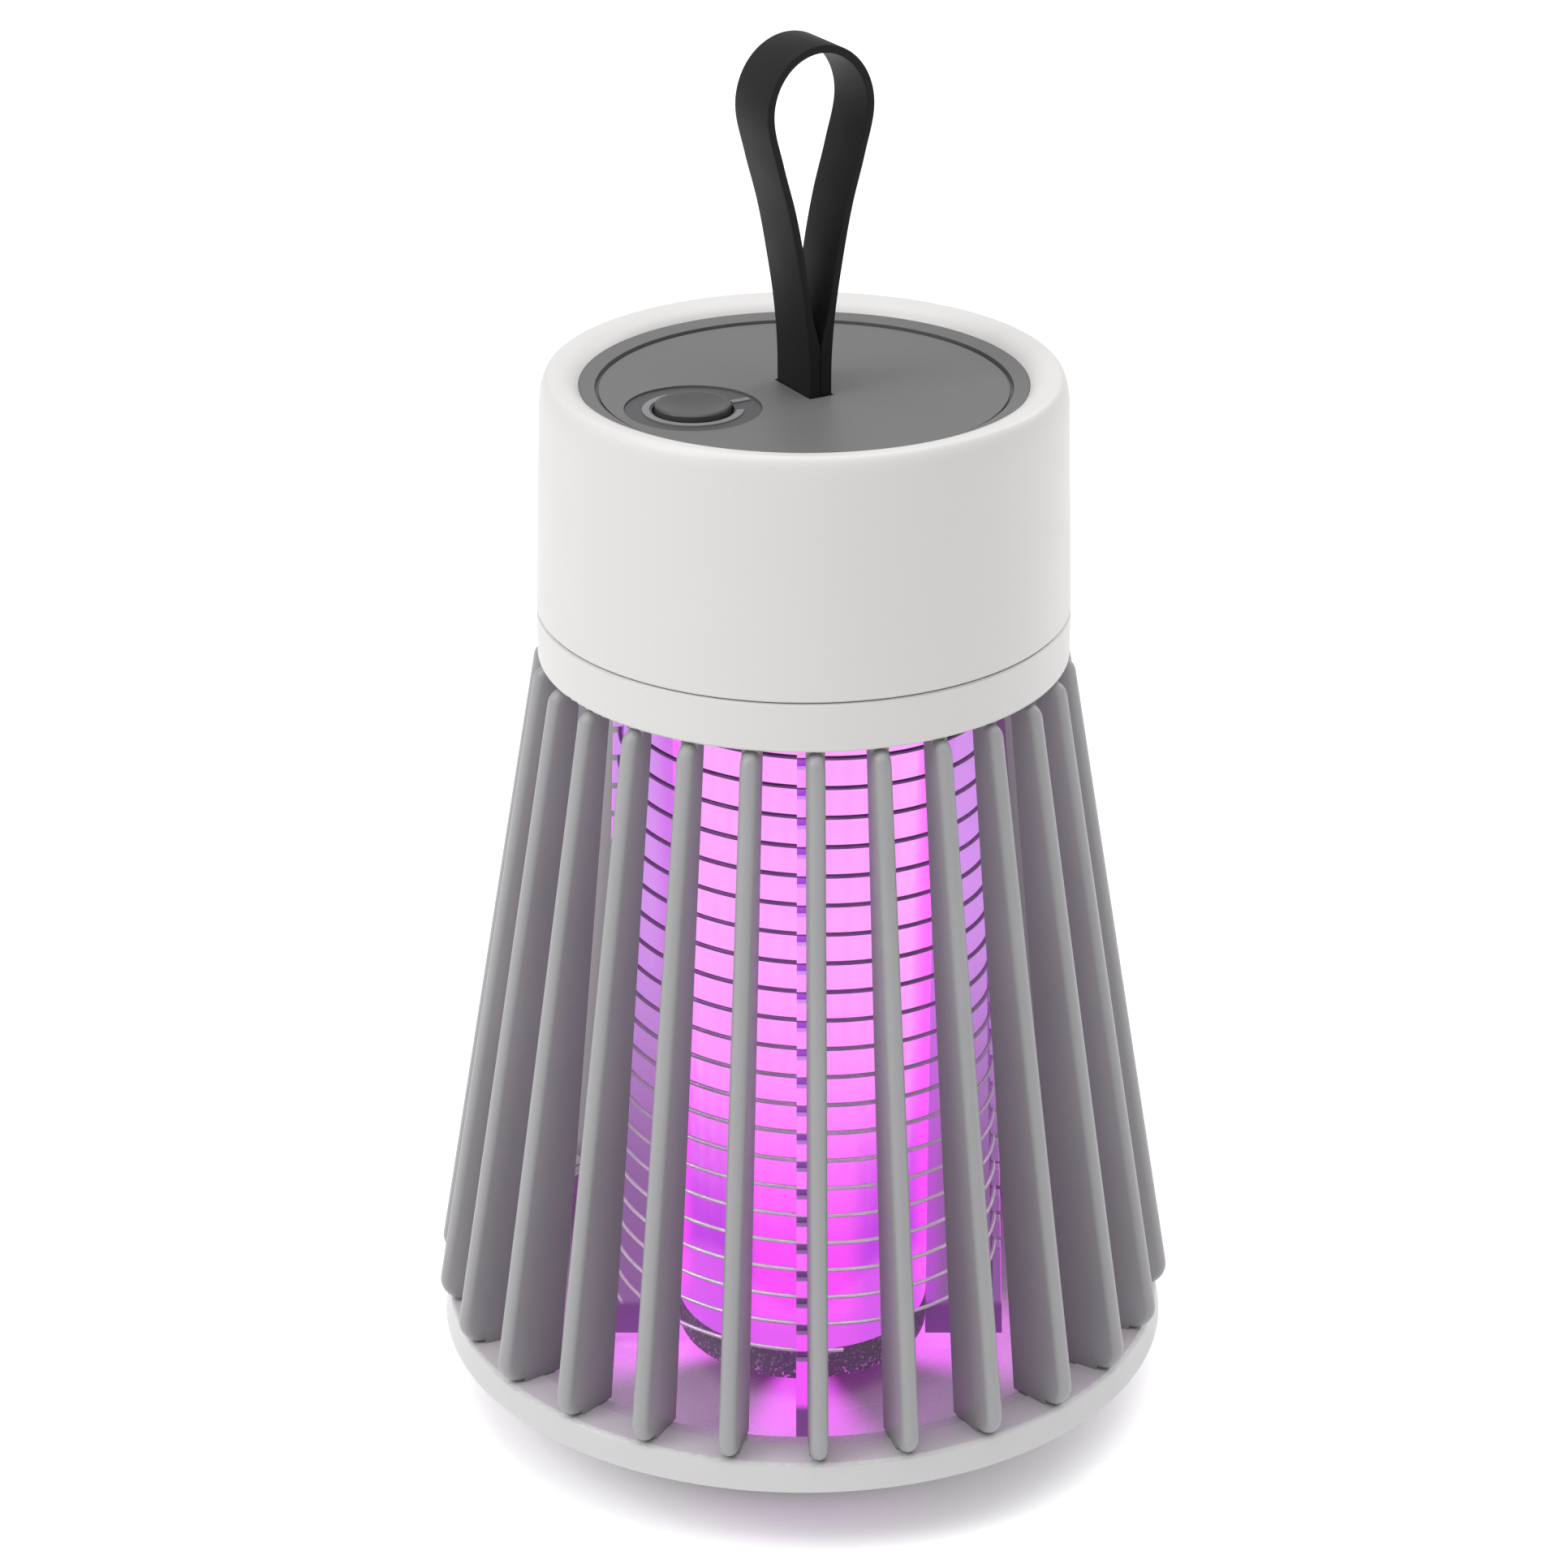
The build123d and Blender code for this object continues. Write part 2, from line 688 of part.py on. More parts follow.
# Charging socket on the board's rear edge, its mouth just inside the shell's face.
usb_mouth = shell_top_radius - usb_inset
with BuildPart() as usb_socket:
    with BuildSketch(Plane.XZ.offset(-usb_mouth)):
        with Locations((0, board_top + usb_height / 2)):
            RectangleRounded(usb_width, usb_height, usb_height / 2 - 0.01)
            RectangleRounded(
                usb_width - 2 * usb_wall,
                usb_height - 2 * usb_wall,
                usb_height / 2 - usb_wall - 0.01,
                mode=Mode.SUBTRACT,
            )
    extrude(amount=usb_length)
    with BuildSketch(Plane.XZ.offset(usb_length - usb_mouth)):
        with Locations((0, board_top + usb_height / 2)):
            RectangleRounded(usb_width, usb_height, usb_height / 2 - 0.01)
    extrude(amount=-1)
    with BuildSketch(Plane.XZ.offset(usb_length - usb_mouth)):
        with Locations((0, board_top + usb_height / 2)):
            Rectangle(usb_width * 0.72, 0.7)
    extrude(amount=1 - usb_length)
usb_socket.part.label = "usb_socket"
export_step(usb_socket.part, "parts/usb_socket.step")

# Control chips on the board's upper face.
with BuildPart() as board_chips:
    with BuildSketch(Plane.XY.offset(board_top)):
        with Locations((-12.5, -6.0)):
            Rectangle(5.0, 4.0)
        with Locations((12.5, -6.0)):
            Rectangle(4.0, 4.0)
        with Locations((-10.5, 10.0), (-7.0, 10.0), (9.5, 10.0)):
            Rectangle(1.6, 3.2)
    extrude(amount=1.4)
board_chips.part.label = "board_chips"
export_step(board_chips.part, "parts/board_chips.step")

# Rechargeable cell, lying across the floor.
battery_z = floor_top + battery_clearance + battery_radius
with BuildPart() as battery_cell:
    with Locations((0, battery_y, battery_z)):
        Cylinder(battery_radius, battery_length, rotation=(0, 90, 0))
    fillet(battery_cell.edges().filter_by(GeomType.CIRCLE), 0.6)
battery_cell.part.label = "battery_cell"
export_step(battery_cell.part, "parts/battery_cell.step")

# Two saddles that hold the cell off the floor.
with BuildPart() as battery_cradle:
    with BuildSketch(Plane.XY.offset(floor_top)):
        with Locations((-cradle_x, battery_y), (cradle_x, battery_y)):
            Rectangle(cradle_width, 1.5 * battery_radius)
    extrude(amount=cradle_height)
    with Locations((0, battery_y, battery_z)):
        Cylinder(battery_radius + seat, battery_length, rotation=(0, 90, 0), mode=Mode.SUBTRACT)
battery_cradle.part.label = "battery_cradle"
export_step(battery_cradle.part, "parts/battery_cradle.step")

# Nickel strips from the cell's ends up to the board.
tab_x = battery_length / 2 + tab_thickness / 2
with BuildPart() as battery_tabs:
    with BuildSketch(Plane.XY.offset(board_bottom)):
        with Locations((-tab_x, battery_y), (tab_x, battery_y)):
            Rectangle(tab_thickness, tab_width)
    extrude(amount=battery_z - tab_width / 2 - board_bottom)
battery_tabs.part.label = "battery_tabs"
export_step(battery_tabs.part, "parts/battery_tabs.step")

# Step-up transformer hung under the board: core and winding.
with BuildPart() as hv_transformer:
    with BuildSketch(Plane.XY.offset(board_bottom)):
        with Locations((0, transformer_y)):
            Rectangle(transformer_size[0], transformer_size[1])
    extrude(amount=-transformer_size[2])
    chamfer(hv_transformer.edges().filter_by(Axis.Z), 1)
hv_transformer.part.label = "hv_transformer"
export_step(hv_transformer.part, "parts/hv_transformer.step")

# High-voltage capacitors of the multiplier.
with BuildPart() as hv_capacitors:
    with BuildSketch(Plane.XY.offset(board_bottom)):
        with Locations((-11.0, -10.4), (11.0, -10.4), (8.2, 13.2)):
            Circle(capacitor_radius)
    extrude(amount=-capacitor_height)
    fillet(hv_capacitors.edges().group_by(Axis.Z)[0], 0.6)
hv_capacitors.part.label = "hv_capacitors"
export_step(hv_capacitors.part, "parts/hv_capacitors.step")

# High-voltage pins from the board down to the top ends of the two wires.
with BuildPart() as hv_pins:
    with BuildSketch(Plane.XY.offset(board_bottom)):
        with PolarLocations(pin_circle, 2, start_angle=wire_bearing):
            Circle(pin_radius)
    extrude(amount=wire_top + 1.3 * wire_radius - board_bottom)
hv_pins.part.label = "hv_pins"
export_step(hv_pins.part, "parts/hv_pins.step")

# Supply pins of the lamp board.
with BuildPart() as led_pins:
    with BuildSketch(Plane.XY.offset(board_bottom)):
        with Locations((-lead_x, lead_y), (lead_x, lead_y)):
            Circle(lead_radius)
    extrude(amount=carrier_bottom - board_bottom)
led_pins.part.label = "led_pins"
export_step(led_pins.part, "parts/led_pins.step")

# ================================================================ lamp and grid
wing_step = 360 / wing_count
# Carrier under the floor: a disc grooved for the tube, slotted for the wings and bored for pins.
with BuildPart() as grid_carrier:
    with BuildSketch(Plane.XY.offset(carrier_bottom)):
        Circle(carrier_radius)
        with PolarLocations(grid_screw_circle, wing_count, start_angle=grid_screw_bearing):
            Circle(screw_shank_radius + seat, mode=Mode.SUBTRACT)
        with PolarLocations(pin_circle, 2, start_angle=wire_bearing):
            Circle(pin_radius + seat, mode=Mode.SUBTRACT)
        with Locations((-lead_x, lead_y), (lead_x, lead_y)):
            Circle(lead_radius + seat, mode=Mode.SUBTRACT)
    extrude(amount=floor_bottom - carrier_bottom)
    with BuildSketch(Plane.XY.offset(carrier_bottom)):
        Circle(tube_radius + seat)
        Circle(tube_inner - seat, mode=Mode.SUBTRACT)
        with PolarLocations(tube_radius + 3.2, wing_count, start_angle=wing_bearing):
            Rectangle(4 + 2 * seat, wing_thickness + 2 * seat)
    extrude(amount=tube_socket_depth, mode=Mode.SUBTRACT)
grid_carrier.part.label = "grid_carrier"
export_step(grid_carrier.part, "parts/grid_carrier.step")

# Screws down through the floor into the carrier.
with BuildPart() as grid_screws:
    with BuildSketch(Plane.XY.offset(floor_top)):
        with PolarLocations(grid_screw_circle, wing_count, start_angle=grid_screw_bearing):
            Circle(screw_head_radius)
    extrude(amount=screw_head_height * 0.8)
    fillet(grid_screws.edges().group_by(Axis.Z)[-1], screw_head_height / 3)
    with BuildSketch(Plane.XY.offset(floor_top)):
        with PolarLocations(grid_screw_circle, wing_count, start_angle=grid_screw_bearing):
            Circle(screw_shank_radius)
    extrude(amount=carrier_bottom + 0.6 - floor_top)
grid_screws.part.label = "grid_screws"
export_step(grid_screws.part, "parts/grid_screws.step")

# Clear tube round the lamp.
with BuildPart() as light_tube:
    with BuildSketch(Plane.XY.offset(tube_bottom)):
        Circle(tube_radius)
        Circle(tube_inner, mode=Mode.SUBTRACT)
    extrude(amount=tube_top - tube_bottom)
light_tube.part.label = "light_tube"
export_step(light_tube.part, "parts/light_tube.step")

# Dark cup that closes the tube's lower end.
with BuildPart() as tube_holder:
    revolve(
        half_section(
            (0, holder_bottom),
            (tube_radius, holder_bottom),
            (tube_radius, tube_bottom),
            (tube_inner - seat, tube_bottom),
            (tube_inner - seat, tube_bottom + holder_plug),
            (tube_inner - seat - tube_wall, tube_bottom + holder_plug),
            (tube_inner - seat - tube_wall, holder_bottom + holder_floor),
            (0, holder_bottom + holder_floor),
        ),
        axis=Axis.Z,
    )
    holder_edges = tube_holder.edges().filter_by(GeomType.CIRCLE).group_by(Axis.Z)[0]
    fillet(holder_edges.sort_by(SortBy.RADIUS)[-1], 0.5)
tube_holder.part.label = "tube_holder"
export_step(tube_holder.part, "parts/tube_holder.step")

# White reflector standing in the holder: a domed cone that throws the light outwards.
cone_radius = tube_inner - 2 * tube_wall - slip
with BuildPart() as reflector_cone:
    with BuildSketch(Plane.XZ):
        with BuildLine():
            foot_line = Line((0, holder_bottom + holder_floor), (cone_radius, holder_bottom + holder_floor))
            skirt_line = Line(foot_line @ 1, foot_line @ 1 + Vector(0, 2))
            flank = Spline(
                skirt_line @ 1,
                (0, holder_bottom + holder_floor + cone_height),
                tangents=((-0.2, 1), (-1, 0)),
            )
            Line(flank @ 1, foot_line @ 0)
        make_face()
    revolve(axis=Axis.Z)
reflector_cone.part.label = "reflector_cone"
export_step(reflector_cone.part, "parts/reflector_cone.step")

# Lamp board under the carrier, at the tube's top, and its ultraviolet diodes facing down.
with BuildPart() as led_board:
    with BuildSketch(Plane.XY.offset(carrier_bottom)):
        Circle(led_board_radius)
    extrude(amount=-led_board_thickness)
led_board.part.label = "led_board"
export_step(led_board.part, "parts/led_board.step")

with BuildPart() as uv_leds:
    with BuildSketch(Plane.XY.offset(carrier_bottom - led_board_thickness)):
        with PolarLocations(led_circle, led_count):
            Rectangle(led_size, led_size)
    extrude(amount=-led_height)
uv_leds.part.label = "uv_leds"
export_step(uv_leds.part, "parts/uv_leds.step")

# Four upright wings between the tube and the wires, notched where each wire crosses.
wing_root = tube_radius + seat
for wing in range(wing_count):
    bearing = wing_bearing + wing * wing_step
    with BuildPart() as grid_wing:
        with BuildSketch(Plane.XZ.offset(-wing_thickness / 2)):
            with BuildLine():
                Polyline(
                    (wing_root, wing_foot),
                    (wire_circle(wing_foot) + wing_tip, wing_foot),
                    (wire_circle(carrier_bottom) + wing_tip, carrier_bottom),
                    (tube_radius + 5.2, carrier_bottom),
                    (tube_radius + 5.2, carrier_bottom + wing_tenon_depth),
                    (tube_radius + 1.2, carrier_bottom + wing_tenon_depth),
                    (tube_radius + 1.2, carrier_bottom),
                    (wing_root, carrier_bottom),
                    close=True,
                )
            make_face()
            for start, tail in zip(pin_bearings, wire_tails):
                crossing = wire_top - ((bearing - start) % 360) / 360 * wire_pitch
                while crossing > wing_foot + tail - notch_rise:
                    inner = wire_circle(crossing) - notch_root
                    with Locations((inner, crossing + notch_rise)):
                        Rectangle(
                            2 * wing_tip + notch_root,
                            notch_rise + notch_drop,
                            align=(Align.MIN, Align.MAX),
                            mode=Mode.SUBTRACT,
                        )
                    crossing -= wire_pitch
        extrude(amount=wing_thickness)
    placed = grid_wing.part.rotate(Axis.Z, bearing)
    placed.label = f"grid_wing_{wing + 1}"
    export_step(placed, f"parts/grid_wing_{wing + 1}.step")

# Two bare steel wires, wound side by side down the wings, half a turn apart.
for wire, (start, tail) in enumerate(zip(pin_bearings, wire_tails)):
    wire_bottom = wing_foot + tail
    wire_height = wire_top - wire_bottom
    end_bearing = start + 360 * wire_height / wire_pitch
    with BuildPart() as grid_wire:
        with BuildLine() as wire_path:
            Helix(
                wire_pitch,
                wire_height,
                wire_circle(wire_bottom),
                cone_angle=-degrees(asin(wire_flare)),
                lefthand=True,
            )
        with BuildSketch(Plane(origin=wire_path.line @ 0, z_dir=wire_path.line % 0)):
            Circle(wire_radius)
        sweep(is_frenet=True)
    placed = grid_wire.part.rotate(Axis.Z, end_bearing).move(Location((0, 0, wire_bottom)))
    placed.label = f"grid_wire_{wire + 1}"
    export_step(placed, f"parts/grid_wire_{wire + 1}.step")
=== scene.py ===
import json
import math

import bmesh
import bpy
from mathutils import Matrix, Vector


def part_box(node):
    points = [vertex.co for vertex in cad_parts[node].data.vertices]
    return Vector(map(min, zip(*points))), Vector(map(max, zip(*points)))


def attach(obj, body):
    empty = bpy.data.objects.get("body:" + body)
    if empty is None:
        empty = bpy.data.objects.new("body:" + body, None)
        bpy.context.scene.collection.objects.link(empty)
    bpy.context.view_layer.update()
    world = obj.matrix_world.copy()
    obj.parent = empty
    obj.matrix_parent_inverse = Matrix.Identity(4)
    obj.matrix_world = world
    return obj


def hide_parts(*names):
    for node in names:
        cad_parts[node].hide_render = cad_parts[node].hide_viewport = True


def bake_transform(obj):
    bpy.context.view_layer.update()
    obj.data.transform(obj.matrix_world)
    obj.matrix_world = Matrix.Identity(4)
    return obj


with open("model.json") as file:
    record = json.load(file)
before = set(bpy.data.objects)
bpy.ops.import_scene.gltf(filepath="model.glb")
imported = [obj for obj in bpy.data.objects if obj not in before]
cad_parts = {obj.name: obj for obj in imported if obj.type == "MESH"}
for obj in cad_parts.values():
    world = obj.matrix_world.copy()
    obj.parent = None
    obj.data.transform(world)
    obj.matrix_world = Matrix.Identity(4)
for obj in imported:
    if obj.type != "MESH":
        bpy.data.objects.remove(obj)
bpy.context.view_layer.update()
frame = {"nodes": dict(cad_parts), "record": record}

bl_info = {
    "name": "Fin Cage Bug Zapper",
    "version": (1, 0, 0),
    "blender": (4, 5, 0),
    "location": "3D View > Sidebar > Zapper",
    "description": "Dresses the bug zapper's frame: fins, grid wires, strap, lit lamp and finishes",
    "category": "Object",
}

MM = 0.001


def display(red, green, blue):
    """Linear colour of a display colour given in 0 to 255."""
    return tuple(
        c / 12.92 if c <= 0.04045 else ((c + 0.055) / 1.055) ** 2.4
        for c in (red / 255, green / 255, blue / 255)
    )


# ---------------------------------------------------------------- sizes and colours to change
def length(name, description, default):
    return bpy.props.FloatProperty(
        name=name, description=description, default=default, unit="LENGTH", precision=5
    )


def tint(name, description, default):
    return bpy.props.FloatVectorProperty(
        name=name, description=description, default=default, size=3, min=0, max=1, subtype="COLOR"
    )


ledge_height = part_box("base_ring")[1].z
collar_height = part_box("cage_fins")[1].z
disc_flat_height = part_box("strap_root")[1].z - 0.12 * MM


class FinSizes(bpy.types.PropertyGroup):
    count: bpy.props.IntProperty(
        name="Fins", description="How many fins stand round the cage", default=26, min=3
    )
    thickness: length("Thickness", "Thickness of one fin", 2.0 * MM)
    foot_inner: length("Foot inner radius", "Where a fin's inner edge meets the base", 35.6 * MM)
    foot_outer: length("Foot outer radius", "Where a fin's outer edge would meet the base", 43.64 * MM)
    top_inner: length("Top inner radius", "Where a fin's inner edge meets the collar", 27.0 * MM)
    top_outer: length("Top outer radius", "Where a fin's outer edge would meet the collar", 30.14 * MM)
    foot_rounding: length("Foot rounding", "Radius of the corner over the base", 2.8 * MM)
    top_rounding: length("Top rounding", "Radius of the corner under the head", 1.8 * MM)
    edge_rounding: length("Edge rounding", "Radius along the outer edge", 0.96 * MM)


class WireSizes(bpy.types.PropertyGroup):
    pitch: length("Pitch", "Rise of one wire in one turn", 6.95 * MM)
    top_radius: length("Top radius", "Radius of the windings under the carrier", 20.37 * MM)
    flare: bpy.props.FloatProperty(
        name="Flare", description="Radius gained for each unit of depth", default=0.0321
    )
    gauge: length("Gauge", "Radius of the wire itself", 0.25 * MM)
    steps: bpy.props.IntProperty(
        name="Steps", description="Straight steps in one turn of wire", default=96, min=12
    )


class StrapSizes(bpy.types.PropertyGroup):
    width: length("Width", "Width of the strap", 7.12 * MM)
    corner: length("Corner", "Rounding of the strap's long edges", 0.16 * MM)


class ZapperColours(bpy.types.PropertyGroup):
    shell: tint("Shell", "Head shells", display(185, 183, 182))
    ring: tint("Ring", "Base ring", display(176, 175, 176))
    tray: tint("Tray", "Inside of the tray", display(178, 175, 180))
    fin: tint("Fins", "Cage fins and collar", display(136, 135, 137))
    disc: tint("Disc", "Top disc", display(87, 86, 86))
    strap: tint("Strap", "Hanging strap", display(24, 24, 24))
    lamp: tint("Lamp", "The lamp's main glow", display(254, 160, 253))
    # the deep colour also carries the painted shade on the tube by the side wings
    lamp_deep: tint("Lamp, deep", "The lamp's deeper glow", display(250, 61, 249))
    lamp_dim: tint("Lamp, dim", "The lamp's glow low down between the wings", display(176, 66, 222))


# ---------------------------------------------------------------- shader helpers
class Wire:
    """A socket of a shader tree; sums and products of such sockets add Math nodes."""

    def __init__(self, finish, socket):
        self.finish = finish
        self.socket = socket

    def _with(self, operation, first, second=None):
        values = {0: first} if second is None else {0: first, 1: second}
        return self.finish.node("ShaderNodeMath", {"operation": operation}, values)

    def __add__(self, other):
        return self._with("ADD", self, other)

    def __radd__(self, other):
        return self._with("ADD", other, self)

    def __sub__(self, other):
        return self._with("SUBTRACT", self, other)

    def __rsub__(self, other):
        return self._with("SUBTRACT", other, self)

    def __mul__(self, other):
        return self._with("MULTIPLY", self, other)

    def __pow__(self, other):
        return self._with("POWER", self, other)

    def __abs__(self):
        return self._with("ABSOLUTE", self)


class Finish:
    """A material with one Principled surface, filled in by the functions below."""

    def __init__(self, name):
        self.material = bpy.data.materials.new(name)
        self.material.use_nodes = True
        self.tree = self.material.node_tree
        self.surface = self.tree.nodes["Principled BSDF"]
        self.place = None

    def node(self, kind, settings=None, values=None, out=0):
        """Adds a node, sets it up, fills or links its inputs, and returns one output."""
        made = self.tree.nodes.new(kind)
        for key, value in (settings or {}).items():
            setattr(made, key, value)
        for key, value in (values or {}).items():
            self.fill(made.inputs[key], value)
        return Wire(self, made.outputs[out])

    def fill(self, socket, value):
        if isinstance(value, Wire):
            self.tree.links.new(value.socket, socket)
        elif socket.type == "RGBA":
            socket.default_value = (*value, 1.0)
        else:
            socket.default_value = value

    def set(self, **values):
        """Fills the surface's own sockets; an underscore stands for a space."""
        for key, value in values.items():
            self.fill(self.surface.inputs[key.replace("_", " ")], value)

    def position(self):
        """Object coordinates, shared by all patterns of this material."""
        if self.place is None:
            self.place = self.node("ShaderNodeTexCoord", out=3)
        return self.place

    def axes(self):
        """The three object coordinates as numbers."""
        parts = self.node("ShaderNodeSeparateXYZ", values={0: self.position()})
        outputs = parts.socket.node.outputs
        return Wire(self, outputs[0]), Wire(self, outputs[1]), Wire(self, outputs[2])

    def noise(self, scale, detail=3.0, roughness=0.55, stretch=None):
        """Soft random pattern from 0 to 1; scale is in waves for each metre."""
        where = self.position()
        if stretch is not None:
            where = self.node("ShaderNodeMapping", values={"Vector": where, "Scale": stretch})
        return self.node(
            "ShaderNodeTexNoise",
            values={"Vector": where, "Scale": scale, "Detail": detail, "Roughness": roughness},
        )

    def between(self, low, high, value, start=0.0, end=1.0):
        """A number that goes from low to high as value goes from start to end."""
        return self.node(
            "ShaderNodeMapRange",
            {"interpolation_type": "SMOOTHSTEP"},
            {"Value": value, "From Min": start, "From Max": end, "To Min": low, "To Max": high},
        )

    def blend(self, amount, first, second):
        """Colour mix of two colours or colour sockets."""
        return self.node(
            "ShaderNodeMix", {"data_type": "RGBA"}, {0: amount, 6: first, 7: second}, out=2
        )

    def bump(self, height, strength, distance):
        return self.node(
            "ShaderNodeBump", values={"Height": height, "Strength": strength, "Distance": distance}
        )


def scaled(colour, factor):
    return tuple(min(1.0, c * factor) for c in colour)


def moulded(name, colour, roughness, grain=2600, relief=0.15, patchiness=0.05, **fixed):
    """Moulded plastic or rubber: faint patches of tone, uneven gloss and a fine spark-eroded grain."""
    finish = Finish(name)
    patches = finish.noise(38, 4.0)
    speckle = finish.noise(grain, 2.0, 0.6)
    tone = finish.between(0.0, 1.0, patches * 0.75 + speckle * 0.25, 0.3, 0.7)
    finish.set(
        Base_Color=finish.blend(tone, scaled(colour, 1 - patchiness), scaled(colour, 1 + patchiness)),
        Roughness=finish.between(roughness - 0.06, roughness + 0.07, patches, 0.3, 0.7),
        Normal=finish.bump(speckle, relief, 0.02 * MM),
        **fixed,
    )
    return finish.material


def metal(name, colour, roughness, stretch=(1, 1, 1)):
    """Bare or plated metal with fine drawing marks."""
    finish = Finish(name)
    marks = finish.noise(1800, 3.0, 0.6, stretch)
    stain = finish.noise(120, 3.0)
    finish.set(
        Base_Color=finish.blend(finish.between(0, 1, stain, 0.35, 0.7), scaled(colour, 0.8), colour),
        Roughness=finish.between(roughness - 0.08, roughness + 0.12, marks, 0.3, 0.7),
        Normal=finish.bump(marks, 0.1, 0.02 * MM),
        Metallic=1.0,
    )
    return finish.material


def circuit(name, colour):
    """Circuit board: solder resist over tracks, with tinned pads."""
    finish = Finish(name)
    cells = finish.node(
        "ShaderNodeTexVoronoi",
        {"feature": "F1", "distance": "CHEBYCHEV"},
        {"Vector": finish.position(), "Scale": 420.0, "Randomness": 0.9},
    )
    tracks = finish.between(0, 1, cells, 0.42, 0.5)
    pads = finish.between(1, 0, cells, 0.05, 0.1)
    board = finish.blend(tracks, colour, scaled(colour, 1.7))
    finish.set(
        Base_Color=finish.blend(pads, board, (0.6, 0.6, 0.58)),
        Roughness=finish.between(0.28, 0.45, tracks),
        Normal=finish.bump(tracks, 0.2, 0.04 * MM),
    )
    return finish.material


wing_bearing = math.radians(60)  # the first wing's bearing; the others stand a quarter turn apart
wing_turn = math.pi / 2 - wing_bearing  # brings a wing onto the zero of the fourfold pattern
wire_top = 92.29 * MM  # where both wires start, just under the carrier


def round_the_axis(finish, x, y):
    """Distance from the axis, bearing from a wing, and a wave that peaks at each of the four wings."""
    radius = (x * x + y * y) ** 0.5
    turned = finish.node("ShaderNodeMath", {"operation": "ARCTAN2"}, {0: y, 1: x}) + wing_turn
    four = finish.node("ShaderNodeMath", {"operation": "COSINE"}, {0: turned * 4})
    return radius, turned, four


def lamp_glow(name, colours):
    """The lit tube: pale pink above, deeper by the side wings, where painted shade stands for the wings'
    shadow and the glass seen edge-on, dim between the wings low down.
    """
    finish = Finish(name)
    x, y, z = finish.axes()
    _, turned, four = round_the_axis(finish, x, y)
    # bearing of the two side wings, where the tube's painted shade lies
    side = abs(finish.node("ShaderNodeMath", {"operation": "SINE"}, {0: turned}))
    cloud = finish.noise(140, 4.0, 0.6)
    grit = finish.noise(5200, 1.0)
    height = z + (cloud - 0.5) * 8 * MM
    low = finish.between(1, 0, height, 20 * MM, 46 * MM)
    mid = finish.between(1, 0, height, 30 * MM, 66 * MM)
    dome = finish.between(0, 1, z + four * 3 * MM, 17 * MM, 20 * MM)
    gap = finish.between(1, 0, four, -0.75, 0.35)
    # painted shade: deeper magenta on the tube by the two side wings, standing for their shadow and the
    # glass seen edge-on
    edge = finish.between(0, 1, side, 0.8, 0.97)
    glow = finish.blend(mid * 0.55 + low * 0.35, colours.lamp, colours.lamp_deep)
    glow = finish.blend(edge * 0.75, glow, colours.lamp_deep)
    glow = finish.blend(low * gap * 0.85 + (grit - 0.5) * low * 0.3, glow, colours.lamp_dim)
    foot = finish.between(1, 0, z, 12 * MM, 15.5 * MM)
    glow = finish.blend(foot * 0.6, glow, colours.lamp_dim)
    glow = finish.blend((1 - dome) * low * 0.35, glow, display(255, 120, 255))
    finish.set(
        Base_Color=(0.02, 0.01, 0.02),
        Emission_Color=glow,
        Emission_Strength=1.0,
        Roughness=finish.between(0.18, 0.32, cloud, 0.3, 0.7),
        Normal=finish.bump(grit, 0.03, 0.02 * MM),
    )
    return finish.material


def wing_finish(name, wires):
    """Milky wings with the lamp's light painted on as glow: lilac painted light above, greyer painted
    shade low down, pink painted glow at the tips, painted shade at the notch roots and the foot.
    """
    finish = Finish(name)
    x, y, z = finish.axes()
    radius = (x * x + y * y) ** 0.5
    past = radius - (wires.top_radius + (wire_top - z) * wires.flare)
    grit = finish.noise(4200, 2.0)
    # painted light and shade by height: lilac glow above, greyer low down
    upper = finish.between(0, 1, z + (grit - 0.5) * 9 * MM, 22 * MM, 66 * MM)
    body = finish.blend(upper, display(118, 80, 130), display(198, 134, 222))
    # painted light from the tube: more magenta close to it
    near = finish.between(1, 0, radius, 15 * MM, 17.5 * MM)
    body = finish.blend(near * 0.6, body, display(190, 58, 214))
    # painted shade at the notch bottoms, just inside the wires
    root = finish.between(1, 0, abs(past + 0.35 * MM), 0.06 * MM, 0.12 * MM)
    # painted pink glow at the wing tips, past the wires
    painted_tip_glow = finish.between(0, 1, past, 0.6 * MM, 0.74 * MM)
    glow = finish.blend(painted_tip_glow, body, finish.blend(upper, display(236, 70, 240), display(246, 132, 248)))
    glow = finish.blend(root, glow, finish.blend(upper, display(70, 22, 84), display(146, 34, 196)))
    # painted shade at the wings' foot, down by the holder
    glow = finish.blend(finish.between(1, 0, z, 7.6 * MM, 8.8 * MM), glow, display(84, 36, 98))
    # the wings are no lamp: their emission is all painted light
    finish.set(
        Base_Color=display(110, 92, 120),
        Emission_Color=glow,
        Emission_Strength=1.0,
        Roughness=finish.between(0.3, 0.45, grit, 0.3, 0.7),
        Normal=finish.bump(grit, 0.08, 0.02 * MM),
    )
    return finish.material


